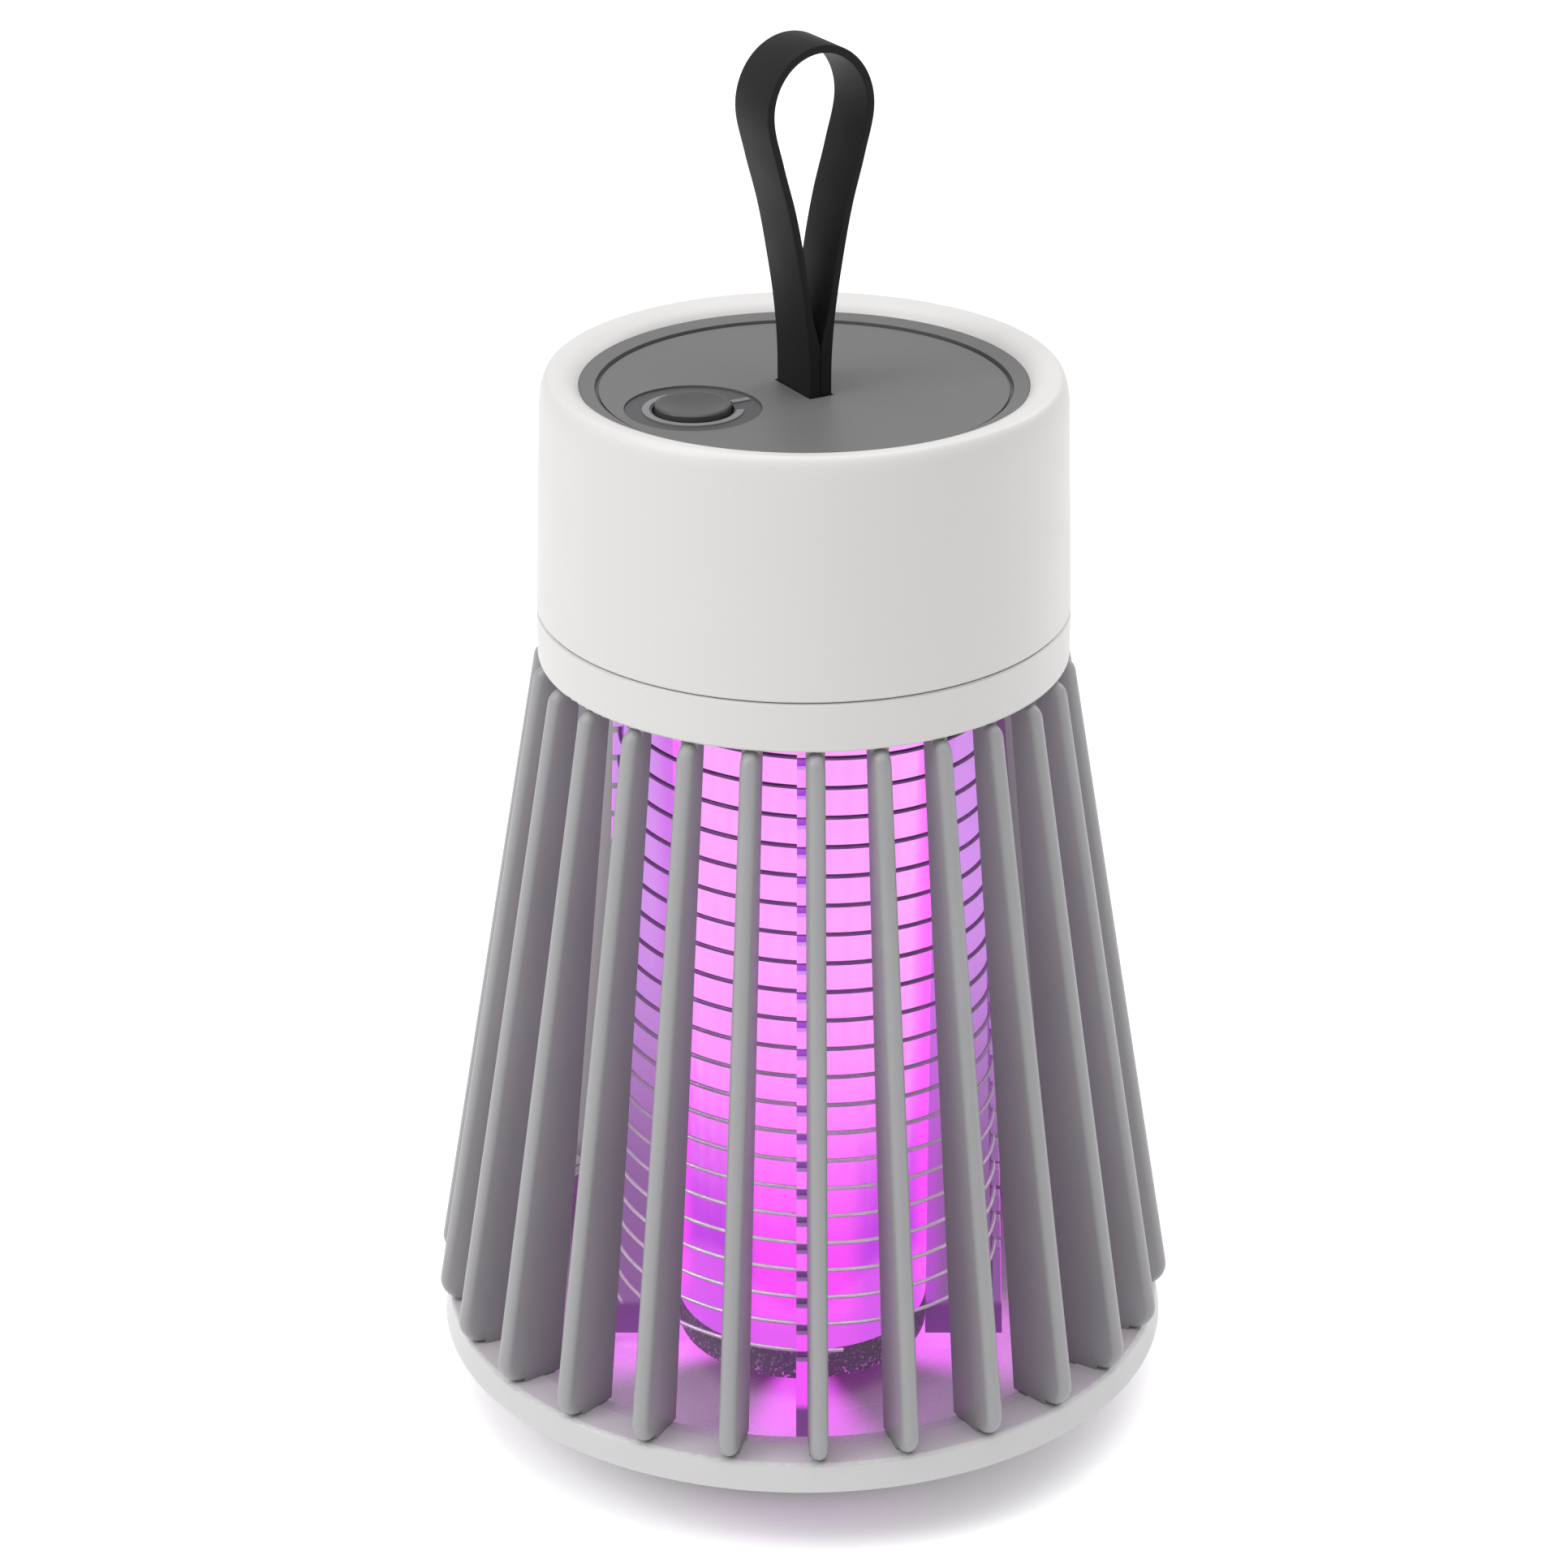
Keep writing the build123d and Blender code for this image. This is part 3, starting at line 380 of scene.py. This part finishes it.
def tray_finish(name, colour):
    """Glossy white tray, dusty and scuffed, with the lamp's light spilt on it beside the wings."""
    finish = Finish(name)
    dust_and_glow_grit = finish.noise(3800, 2.0, 0.7)
    scuffs = finish.noise(260, 5.0, 0.65, (1.0, 0.2, 1.0))
    x, y, z = finish.axes()
    radius, _, four = round_the_axis(finish, x, y)
    # painted light: a pool of the lamp's pink light on the tray, strongest beside the wings; the dust
    # noise also roughens its edge
    ahead = finish.between(0.08, 1.0, four, -0.5, 0.9)
    spill = finish.between(1, 0, radius + (dust_and_glow_grit - 0.5) * 7 * MM, 13 * MM, 39 * MM) * ahead
    inside = finish.between(0, 1, z, 2.2 * MM, 2.3 * MM)
    finish.set(
        Base_Color=finish.blend(finish.between(0, 0.5, dust_and_glow_grit, 0.45, 0.75), colour, scaled(colour, 0.72)),
        Roughness=finish.between(0.16, 0.4, scuffs, 0.35, 0.7),
        Normal=finish.bump(dust_and_glow_grit, 0.08, 0.03 * MM),
        Coat_Weight=0.3,
        # emission of the painted pool of lamp light
        Emission_Color=finish.blend(spill * inside, (0.0, 0.0, 0.0), display(232, 84, 240)),
        Emission_Strength=1.0,
    )
    return finish.material


def holder_finish(name):
    """Dark textured ring at the tube's foot, with the lamp's light caught in its grain."""
    finish = Finish(name)
    x, y, z = finish.axes()
    grain = finish.noise(2400, 3.0, 0.7)
    # grain flecks in the tone, also used for the painted glow below
    grain_flecks_and_glow = finish.between(0, 1, grain, 0.52, 0.72)
    # lower part of the ring, where the lamp's light is painted as glow
    lower = finish.between(1, 0, z, 6.4 * MM, 8.2 * MM)
    finish.set(
        Base_Color=finish.blend(grain_flecks_and_glow, display(118, 104, 124), display(190, 172, 196)),
        Roughness=finish.between(0.5, 0.75, grain, 0.3, 0.7),
        Normal=finish.bump(grain, 0.5, 0.12 * MM),
        # painted glow: the lamp's light painted into the grain flecks on the ring's lower part
        Emission_Color=finish.blend(grain_flecks_and_glow * lower, (0.0, 0.0, 0.0), display(240, 60, 245)),
        Emission_Strength=0.8,
    )
    return finish.material


def wire_finish(name):
    """Bare wire with the lamp's light and shade painted into its colour: dark purple near the carrier,
    bright lilac low down, with drawing marks.
    """
    finish = Finish(name)
    x, y, z = finish.axes()
    marks = finish.noise(2600, 3.0, 0.6, (1, 1, 5))
    # painted light and shade by height: dark purple near the carrier, bright lilac low down
    upper = finish.between(0, 1, z + (marks - 0.5) * 14 * MM, 20 * MM, 62 * MM)
    finish.set(
        Base_Color=finish.blend(upper, display(222, 208, 222), display(116, 74, 128)),
        Roughness=finish.between(0.28, 0.5, marks, 0.3, 0.7),
        Normal=finish.bump(marks, 0.08, 0.02 * MM),
        Metallic=0.65,
    )
    return finish.material


def floor_finish(name):
    """Pale paper floor with faint clouds, lifted a little so that its shadows stay light."""
    finish = Finish(name)
    cloud = finish.between(0, 1, finish.noise(2.0, 2.0), 0.3, 0.7)
    finish.set(
        Base_Color=finish.blend(cloud, (0.93, 0.93, 0.93), (0.95, 0.95, 0.95)),
        Roughness=0.7,
        Emission_Color=(1.0, 1.0, 1.0),
        Emission_Strength=0.1,
    )
    return finish.material


def finishes(colours, wires):
    """Every finish of the object, by the name of its slot in the record."""
    return {
        "shell_white": moulded("satin_shell", colours.shell, 0.42, 3200, 0.06, 0.012),
        "ring_white": moulded("satin_ring", colours.ring, 0.38, 3200, 0.06, 0.015),
        "tray_white": tray_finish("glossy_tray", colours.tray),
        "rubber_grey": moulded("foot_rubber", display(96, 96, 96), 0.8, 1500, 0.4, 0.1),
        "fin_grey": moulded("satin_fins", colours.fin, 0.4, 2400, 0.12, 0.04),
        "silicone_clear": moulded("ring_silicone", display(190, 190, 188), 0.6, 1800, 0.2, 0.04),
        "screw_steel": metal("screw_zinc", display(190, 190, 192), 0.28),
        "disc_grey": moulded("matt_disc", colours.disc, 0.5, 2600, 0.14, 0.03),
        "bezel_dark": moulded("button_surround", display(56, 54, 57), 0.42, 2600, 0.08, 0.04),
        "sign_white": moulded("sign_paint", display(108, 106, 108), 0.5, 2600, 0.08, 0.03),
        "button_grey": moulded("button_face", display(56, 56, 56), 0.34, 2600, 0.08, 0.04),
        "strap_black": moulded("strap_silicone", colours.strap, 0.55, 1400, 0.18, 0.08,
                               Specular_IOR_Level=0.12),
        "board_green": circuit("main_circuit", (0.02, 0.12, 0.05)),
        "board_white": circuit("lamp_circuit", (0.45, 0.45, 0.45)),
        "switch_black": moulded("chip_epoxy", (0.02, 0.02, 0.02), 0.55, 2600, 0.25, 0.15),
        "socket_steel": metal("socket_shell", display(200, 200, 204), 0.25, (1, 6, 1)),
        "cell_wrap": moulded("cell_sleeve", (0.05, 0.18, 0.42), 0.25, 900, 0.1, 0.1),
        "cradle_black": moulded("cradle_foam", (0.03, 0.03, 0.03), 0.85, 1200, 0.6, 0.2),
        "nickel": metal("nickel_strip", display(205, 200, 188), 0.3),
        "ferrite": moulded("wound_core", (0.09, 0.05, 0.02), 0.5, 700, 0.6, 0.3),
        "capacitor_blue": moulded("dipped_blue", (0.02, 0.1, 0.4), 0.22, 500, 0.15, 0.1),
        "carrier_dark": moulded("carrier_dark", display(84, 72, 92), 0.5, 2400, 0.15, 0.06),
        "tube_clear": lamp_glow("lit_tube", colours),
        "holder_dark": holder_finish("grainy_holder"),
        "reflector_white": moulded("reflector_white", (0.85, 0.7, 0.86), 0.3, 1800, 0.1, 0.03),
        "led_violet": moulded("diode_violet", (0.5, 0.3, 0.9), 0.2, 1200, 0.1, 0.1,
                              Emission_Color=(0.55, 0.2, 1.0), Emission_Strength=2.0),
        "wing_white": wing_finish("lit_wings", wires),
        "wire_steel": wire_finish("bare_wire"),
    }


# ---------------------------------------------------------------- mesh helpers
def piece(name, mesh):
    made = bpy.data.objects.new(name, mesh)
    bpy.context.scene.collection.objects.link(made)
    return made


def soft_edges(mesh, angle=32):
    mesh.shade_smooth()
    mesh.set_sharp_from_angle(angle=math.radians(angle))


def settle(made):
    """Turns a piece with a node tree into a plain mesh."""
    made.update_tag()
    graph = bpy.context.evaluated_depsgraph_get()
    mesh = bpy.data.meshes.new_from_object(made.evaluated_get(graph), depsgraph=graph)
    made.modifiers.clear()
    old = made.data
    made.data = mesh
    bpy.data.meshes.remove(old)
    mesh.name = made.name
    return made


class Layout:
    """A geometry tree in the making."""

    def __init__(self, name, inputs):
        self.tree = bpy.data.node_groups.new(name, "GeometryNodeTree")
        self.tree.interface.new_socket("Geometry", in_out="INPUT", socket_type="NodeSocketGeometry")
        self.keys = {}
        for label, kind in inputs:
            made = self.tree.interface.new_socket(label, in_out="INPUT", socket_type=kind)
            self.keys[label] = made.identifier
        self.tree.interface.new_socket("Geometry", in_out="OUTPUT", socket_type="NodeSocketGeometry")
        self.source = self.tree.nodes.new("NodeGroupInput")
        self.target = self.tree.nodes.new("NodeGroupOutput")

    def read(self, label):
        return self.source.outputs[label]

    def node(self, kind, settings=None, values=None):
        made = self.tree.nodes.new(kind)
        for key, value in (settings or {}).items():
            setattr(made, key, value)
        for key, value in (values or {}).items():
            if isinstance(value, bpy.types.NodeSocket):
                self.tree.links.new(value, made.inputs[key])
            else:
                made.inputs[key].default_value = value
        return made.outputs

    def maths(self, operation, first, second=0.0):
        return self.node("ShaderNodeMath", {"operation": operation}, {0: first, 1: second})[0]

    def close(self, geometry):
        real = self.node("GeometryNodeRealizeInstances", values={"Geometry": geometry})[0]
        dressed = self.node(
            "GeometryNodeSetMaterial", values={"Geometry": real, "Material": self.read("Material")}
        )[0]
        self.tree.links.new(dressed, self.target.inputs[0])

    def put_on(self, made, values):
        modifier = made.modifiers.new(self.tree.name, "NODES")
        modifier.node_group = self.tree
        for label, value in values.items():
            modifier[self.keys[label]] = value
        return settle(made)


def ring_of_copies():
    """A tree that repeats its mesh round the upright axis."""
    layout = Layout("ring_of_copies", [("Count", "NodeSocketInt"), ("Material", "NodeSocketMaterial")])
    points = layout.node("GeometryNodePoints", values={"Count": layout.read("Count")})[0]
    share = layout.maths("DIVIDE", math.tau, layout.read("Count"))
    angle = layout.maths("MULTIPLY", layout.node("GeometryNodeInputIndex")[0], share)
    turn = layout.node(
        "FunctionNodeAxisAngleToRotation", values={"Axis": (0.0, 0.0, 1.0), "Angle": angle}
    )[0]
    copies = layout.node(
        "GeometryNodeInstanceOnPoints",
        values={"Points": points, "Instance": layout.read("Geometry"), "Rotation": turn},
    )[0]
    layout.close(copies)
    return layout


def wound_wire():
    """A tree that winds a round wire as a left-handed screw on a cone."""
    layout = Layout(
        "wound_wire",
        [
            ("Steps", "NodeSocketInt"),
            ("Turns", "NodeSocketFloat"),
            ("Foot Radius", "NodeSocketFloat"),
            ("Top Radius", "NodeSocketFloat"),
            ("Height", "NodeSocketFloat"),
            ("Foot Level", "NodeSocketFloat"),
            ("Bearing", "NodeSocketFloat"),
            ("Gauge", "NodeSocketFloat"),
            ("Material", "NodeSocketMaterial"),
        ],
    )
    spiral = layout.node(
        "GeometryNodeCurveSpiral",
        values={
            "Resolution": layout.read("Steps"),
            "Rotations": layout.read("Turns"),
            "Start Radius": layout.read("Foot Radius"),
            "End Radius": layout.read("Top Radius"),
            "Height": layout.read("Height"),
            "Reverse": False,
        },
    )[0]
    section = layout.node(
        "GeometryNodeCurvePrimitiveCircle",
        {"mode": "RADIUS"},
        {"Resolution": 8, "Radius": layout.read("Gauge")},
    )[0]
    round_wire = layout.node(
        "GeometryNodeCurveToMesh",
        values={"Curve": spiral, "Profile Curve": section, "Fill Caps": True},
    )[0]
    smooth = layout.node(
        "GeometryNodeSetShadeSmooth", values={"Geometry": round_wire, "Shade Smooth": True}
    )[0]
    move = layout.node("ShaderNodeCombineXYZ", values={2: layout.read("Foot Level")})[0]
    turn = layout.node("ShaderNodeCombineXYZ", values={2: layout.read("Bearing")})[0]
    placed = layout.node(
        "GeometryNodeTransform", values={"Geometry": smooth, "Translation": move, "Rotation": turn}
    )[0]
    layout.close(placed)
    return layout


def rounded_corner(before, corner, after, radius, steps):
    """Points of a round corner between two straight runs of an outline."""
    corner, before, after = Vector(corner), Vector(before), Vector(after)
    into, out = (before - corner).normalized(), (after - corner).normalized()
    half = into.angle(out) / 2
    reach = radius / math.tan(half)
    centre = corner + (into + out).normalized() * (radius / math.sin(half))
    first, last = corner + into * reach - centre, corner + out * reach - centre
    swing = first.angle(last)
    points = []
    for step in range(steps + 1):
        share = step / steps
        mixed = (first * math.sin((1 - share) * swing) + last * math.sin(share * swing)) / math.sin(swing)
        points.append(centre + mixed)
    return points


def fin_blade(sizes, foot, top):
    """One fin, standing along +X: a flat blade with a fully rounded outer edge."""
    corners = [
        (sizes.foot_inner, foot),
        (sizes.foot_outer, foot),
        (sizes.top_outer, top),
        (sizes.top_inner, top),
    ]
    lower = rounded_corner(corners[0], corners[1], corners[2], sizes.foot_rounding, 9)
    upper = rounded_corner(corners[1], corners[2], corners[3], sizes.top_rounding, 7)
    rim = lower + upper
    outward = [Vector((0, -1))]
    for before, after in zip(rim, rim[2:]):
        along = (after - before).normalized()
        outward.append(Vector((along.y, -along.x)))
    outward.append(Vector((0, 1)))
    half = sizes.thickness / 2
    mesh = bmesh.new()

    def put(point, y):
        return mesh.verts.new((point[0], y, point[1]))

    steps, middle = 10, 5
    rows = []
    for point, way in zip(rim, outward):
        row = []
        for step in range(steps + 1):
            angle = math.pi * (step / steps - 0.5)
            sunk = point - way * (sizes.edge_rounding * (1 - math.cos(angle)))
            row.append(put(sunk, half * math.sin(angle)))
        rows.append(row)
    for row, after in zip(rows, rows[1:]):
        for step in range(steps):
            mesh.faces.new((row[step], row[step + 1], after[step + 1], after[step]))
    ends = []
    for inner, row, point in ((corners[0], rows[0], rim[0]), (corners[3], rows[-1], rim[-1])):
        near_in, far_in = put(inner, -half), put(inner, half)
        near_out, far_out = put(point, -half), put(point, half)
        mesh.faces.new((near_in, far_in, far_out, row[middle], near_out))
        mesh.faces.new((near_out, *reversed(row[: middle + 1])))
        mesh.faces.new((far_out, *row[middle:]))
        ends.append((near_in, far_in, near_out, far_out))
    (a, b, c, d), (e, f, g, h) = ends
    mesh.faces.new((a, e, f, b))
    mesh.faces.new((a, c, *(row[0] for row in rows), g, e))
    mesh.faces.new((b, d, *(row[-1] for row in rows), h, f))
    bmesh.ops.recalc_face_normals(mesh, faces=mesh.faces[:])
    data = bpy.data.meshes.new("fin_blade")
    mesh.to_mesh(data)
    mesh.free()
    soft_edges(data, 30)
    return data


def smooth_path(stations):
    """Piecewise cubic through (height, offset) stations, level at both ends."""
    slopes = [0.0]
    for i in range(1, len(stations) - 1):
        (a, b), (c, d) = stations[i - 1], stations[i + 1]
        slopes.append((d - b) / (c - a))
    slopes.append(0.0)

    def at(height):
        height = min(max(height, stations[0][0]), stations[-1][0])
        for i in range(len(stations) - 1):
            if height <= stations[i + 1][0]:
                break
        (a, b), (c, d) = stations[i], stations[i + 1]
        run = c - a
        t = (height - a) / run
        return (
            (2 * t**3 - 3 * t**2 + 1) * b
            + (t**3 - 2 * t**2 + t) * run * slopes[i]
            + (3 * t**2 - 2 * t**3) * d
            + (t**3 - t**2) * run * slopes[i + 1]
        )

    return at


def strap_mesh(sizes, flat):
    """The strap as one ribbon: up one ply from the slot, over the loop and down the other.

    Offsets are from the middle and heights over the disc's flat, both in millimetres. Flares are
    (height, offset), and pairs are the ribbon's (offset, height) on its outer and inner face.
    """
    root_half, closed_half, parted_half = 1.375, 0.02, 0.3
    parting, rise = 6.1, 0.55
    loop_level, loop_steps = 31.5, 24
    (outer_half, outer_rise), (inner_half, inner_rise) = (6.53, 7.1), (5.65, 6.2)
    outer_flare = [(8.5, 1.77), (16.0, 2.95), (21.0, 3.98), (26.2, 5.42)]
    inner_flare = [(8.5, 0.87), (16.0, 2.05), (21.0, 3.08), (26.2, 4.52)]
    outer = smooth_path([(1.8, root_half), *outer_flare, (loop_level, outer_half)])
    inner = smooth_path([(parting, parted_half), *inner_flare, (loop_level, inner_half)])
    pairs = []
    for height in (0.13, 0.5, 0.9, 1.35):
        pairs.append(((root_half, height), (closed_half, height)))
    height = 1.8
    while height < loop_level - 0.2:
        height += rise
        if height >= parting:
            split = inner(height)
        else:
            opened = max(0.0, (height - (parting - rise)) / rise)
            split = closed_half + (parted_half - closed_half) * opened
        pairs.append(((outer(height), height), (split, height)))
    for step in range(1, loop_steps + 1):
        angle = math.radians(90 * step / loop_steps)
        across, up = math.cos(angle), math.sin(angle)
        pairs.append(
            (
                (outer_half * across, loop_level + outer_rise * up),
                (inner_half * across, loop_level + inner_rise * up),
            )
        )
    pairs = pairs + [((-a, b), (-c, d)) for (a, b), (c, d) in reversed(pairs[:-1])]
    mesh = bmesh.new()
    half, corner = sizes.width / 2, sizes.corner
    rings = []
    for (oy, oz), (iy, iz) in pairs:
        out = Vector((0, oy * MM, flat + oz * MM))
        into = Vector((0, iy * MM, flat + iz * MM)) - out
        depth = into.length
        into.normalize()
        bend = min(corner, depth * 0.3)
        section = []
        for sx, near in ((-1, True), (1, True), (1, False), (-1, False)):
            for step in range(4):
                share = step / 3 * math.pi / 2
                rise, run = bend * (1 - math.cos(share)), bend * (1 - math.sin(share))
                if near != (sx > 0):
                    rise, run = bend * (1 - math.sin(share)), bend * (1 - math.cos(share))
                across = sx * (half - run)
                section.append(out + into * (rise if near else depth - rise) + Vector((across, 0, 0)))
        rings.append([mesh.verts.new(p) for p in section])
    size = len(rings[0])
    for low, high in zip(rings, rings[1:]):
        for i in range(size):
            j = (i + 1) % size
            mesh.faces.new((low[i], low[j], high[j], high[i]))
    mesh.faces.new(rings[0])
    mesh.faces.new(list(reversed(rings[-1])))
    bmesh.ops.remove_doubles(mesh, verts=mesh.verts[:], dist=1e-7)
    bmesh.ops.recalc_face_normals(mesh, faces=mesh.faces[:])
    data = bpy.data.meshes.new("hanging_strap")
    mesh.to_mesh(data)
    mesh.free()
    soft_edges(data, 40)
    return data


def dress(nodes, made):
    """Gives CAD nodes their finish, by the record's slots."""
    slots = {entry["node"]: entry["material_slot"] for entry in frame["record"]["subparts"]}
    for name in nodes:
        node = frame["nodes"][name]
        node.data.materials.clear()
        node.data.materials.append(made[slots[name]])


# ---------------------------------------------------------------- operators
palette = {}


class ZAPPER_OT_finishes(bpy.types.Operator):
    """Mix the finishes that every piece uses"""

    bl_idname = "zapper.finishes"
    bl_label = "Mix Finishes"

    def execute(self, context):
        scene = context.scene
        palette.update(finishes(scene.zapper_colours, scene.zapper_wires))
        return {"FINISHED"}


class ZAPPER_OT_base(bpy.types.Operator):
    """Finish the base ring, the tray and the feet"""

    bl_idname = "zapper.base"
    bl_label = "Base and Tray"

    def execute(self, context):
        dress(["base_ring", "base_tray", "foot_pads"], palette)
        return {"FINISHED"}


class ZAPPER_OT_fins(bpy.types.Operator):
    """Make the fins of the cage and finish the collar"""

    bl_idname = "zapper.fins"
    bl_label = "Cage Fins"

    def execute(self, context):
        sizes = context.scene.zapper_fins
        fins = piece("fin_set", fin_blade(sizes, ledge_height, collar_height))
        ring_of_copies().put_on(fins, {"Count": sizes.count, "Material": palette["fin_grey"]})
        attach(fins, "cage")
        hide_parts("cage_fins")
        dress(["cage_collar"], palette)
        return {"FINISHED"}


class ZAPPER_OT_head(bpy.types.Operator):
    """Finish the head's shells, the preload ring and the screws"""

    bl_idname = "zapper.head"
    bl_label = "Head Shells"

    def execute(self, context):
        dress(["preload_ring", "lower_shell", "upper_shell", "shell_screws"], palette)
        return {"FINISHED"}


class ZAPPER_OT_controls(bpy.types.Operator):
    """Finish the top disc, the button and the power sign"""

    bl_idname = "zapper.controls"
    bl_label = "Disc and Button"

    def execute(self, context):
        dress(["top_disc", "button_bezel", "power_sign", "button_cap"], palette)
        return {"FINISHED"}


class ZAPPER_OT_strap(bpy.types.Operator):
    """Make the hanging strap and finish its root"""

    bl_idname = "zapper.strap"
    bl_label = "Hanging Strap"

    def execute(self, context):
        strap = piece("hanging_strap", strap_mesh(context.scene.zapper_strap, disc_flat_height))
        strap.data.materials.append(palette["strap_black"])
        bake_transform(strap)
        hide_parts("strap_loop")
        dress(["strap_root"], palette)
        return {"FINISHED"}


class ZAPPER_OT_wires(bpy.types.Operator):
    """Wind the two grid wires on their cone"""

    bl_idname = "zapper.wires"
    bl_label = "Grid Wires"

    def execute(self, context):
        sizes = context.scene.zapper_wires
        layout = wound_wire()
        first_bearing, feet = 118.0, (13.05 * MM, 15.0 * MM)
        for number, foot in enumerate(feet, 1):
            start = first_bearing + 180 * (number - 1)
            turns = (wire_top - foot) / sizes.pitch
            wire = piece(f"wound_wire_{number}", bpy.data.meshes.new("wire"))
            layout.put_on(
                wire,
                {
                    "Steps": sizes.steps,
                    "Turns": turns,
                    "Foot Radius": sizes.top_radius + (wire_top - foot) * sizes.flare,
                    "Top Radius": sizes.top_radius,
                    "Height": wire_top - foot,
                    "Foot Level": foot,
                    "Bearing": math.radians(start + 360 * turns),
                    "Gauge": sizes.gauge,
                    "Material": palette["wire_steel"],
                },
            )
            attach(wire, "head")
            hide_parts(f"grid_wire_{number}")
        return {"FINISHED"}


class ZAPPER_OT_lamp(bpy.types.Operator):
    """Light the tube and finish the wings, holder, reflector and carrier"""

    bl_idname = "zapper.lamp"
    bl_label = "Lamp and Wings"

    def execute(self, context):
        wings = [f"grid_wing_{number}" for number in range(1, 5)]
        dress(wings + ["light_tube", "tube_holder", "reflector_cone", "led_board", "uv_leds"], palette)
        dress(["grid_carrier", "grid_screws", "hv_pins", "led_pins"], palette)
        return {"FINISHED"}


class ZAPPER_OT_electronics(bpy.types.Operator):
    """Finish the board and everything on it, the socket and the cell"""

    bl_idname = "zapper.electronics"
    bl_label = "Electronics"

    def execute(self, context):
        dress(["main_board", "board_screws", "board_chips", "tact_switch", "usb_socket"], palette)
        dress(["battery_cell", "battery_cradle", "battery_tabs"], palette)
        dress(["hv_transformer", "hv_capacitors"], palette)
        return {"FINISHED"}


class ZAPPER_OT_stage(bpy.types.Operator):
    """Set out the floor, the soft lights and the camera"""

    bl_idname = "zapper.stage"
    bl_label = "Stage"

    def execute(self, context):
        scene = context.scene
        mesh = bpy.data.meshes.new("floor")
        far = 12.0
        mesh.from_pydata(
            [(-far, -far, 0), (far, -far, 0), (far, far, 0), (-far, far, 0)], [], [(0, 1, 2, 3)]
        )
        floor = piece("floor", mesh)
        mesh.materials.append(floor_finish("pale_floor"))
        world = bpy.data.worlds.new("soft_room")
        scene.world = world
        world.use_nodes = True
        world.node_tree.nodes["Background"].inputs["Color"].default_value = (1, 1, 1, 1)
        world.node_tree.nodes["Background"].inputs["Strength"].default_value = 0.7
        azimuth = math.radians(60)  # where the camera stands, from the button's side
        right = Vector((math.cos(azimuth), math.sin(azimuth), 0))
        toward = Vector((math.sin(azimuth), -math.cos(azimuth), 0))
        up = Vector((0, 0, 1))
        middle = Vector((0, 0, 80 * MM))
        for name, place, size, power in (
            ("key", -0.75 * right + 0.35 * toward + 0.75 * up, 0.5, 4.6),
            ("top", 0.1 * toward + 1.3 * up, 1.4, 15.0),
            ("rim", 0.65 * right - 0.55 * toward + 0.6 * up, 0.5, 2.4),
        ):
            light = bpy.data.lights.new(name, "AREA")
            light.size = size
            light.energy = power
            lamp = bpy.data.objects.new(name, light)
            scene.collection.objects.link(lamp)
            lamp.location = place
            lamp.rotation_euler = (middle - lamp.location).to_track_quat("-Z", "Y").to_euler()
        lens = bpy.data.cameras.new("camera")
        lens.sensor_width = 36
        lens.lens = 98.087
        lens.clip_start = 0.01
        lens.clip_end = 100
        camera = bpy.data.objects.new("camera", lens)
        scene.collection.objects.link(camera)
        camera.location = toward * 441.2 * MM - right * 2.2 * MM + up * 274.6 * MM
        pitch = math.radians(24.25)
        look = -toward * math.cos(pitch) - up * math.sin(pitch)
        camera.rotation_euler = look.to_track_quat("-Z", "Y").to_euler()
        scene.camera = camera
        scene.view_settings.view_transform = "Standard"
        scene.view_settings.look = "None"
        return {"FINISHED"}


class ZAPPER_PT_panel(bpy.types.Panel):
    """Sizes, colours and buttons for the bug zapper"""

    bl_idname = "ZAPPER_PT_panel"
    bl_label = "Bug Zapper"
    bl_space_type = "VIEW_3D"
    bl_region_type = "UI"
    bl_category = "Zapper"

    def draw(self, context):
        for label, group in (
            ("Fins", context.scene.zapper_fins),
            ("Wires", context.scene.zapper_wires),
            ("Strap", context.scene.zapper_strap),
            ("Colours", context.scene.zapper_colours),
        ):
            box = self.layout.box()
            box.label(text=label)
            for key in group.__annotations__:
                box.prop(group, key)
        for operator in operators:
            self.layout.operator(operator.bl_idname)


groups = {
    "zapper_fins": FinSizes,
    "zapper_wires": WireSizes,
    "zapper_strap": StrapSizes,
    "zapper_colours": ZapperColours,
}
operators = (
    ZAPPER_OT_finishes,
    ZAPPER_OT_base,
    ZAPPER_OT_fins,
    ZAPPER_OT_head,
    ZAPPER_OT_controls,
    ZAPPER_OT_strap,
    ZAPPER_OT_wires,
    ZAPPER_OT_lamp,
    ZAPPER_OT_electronics,
    ZAPPER_OT_stage,
)


def register():
    for cls in (*groups.values(), *operators, ZAPPER_PT_panel):
        bpy.utils.register_class(cls)
    for name, cls in groups.items():
        setattr(bpy.types.Scene, name, bpy.props.PointerProperty(type=cls))


def unregister():
    for name in groups:
        delattr(bpy.types.Scene, name)
    for cls in reversed((*groups.values(), *operators, ZAPPER_PT_panel)):
        bpy.utils.unregister_class(cls)


def main():
    register()
    for operator in operators:
        family, action = operator.bl_idname.split(".")
        getattr(getattr(bpy.ops, family), action)()


if __name__ == "__main__":
    main()
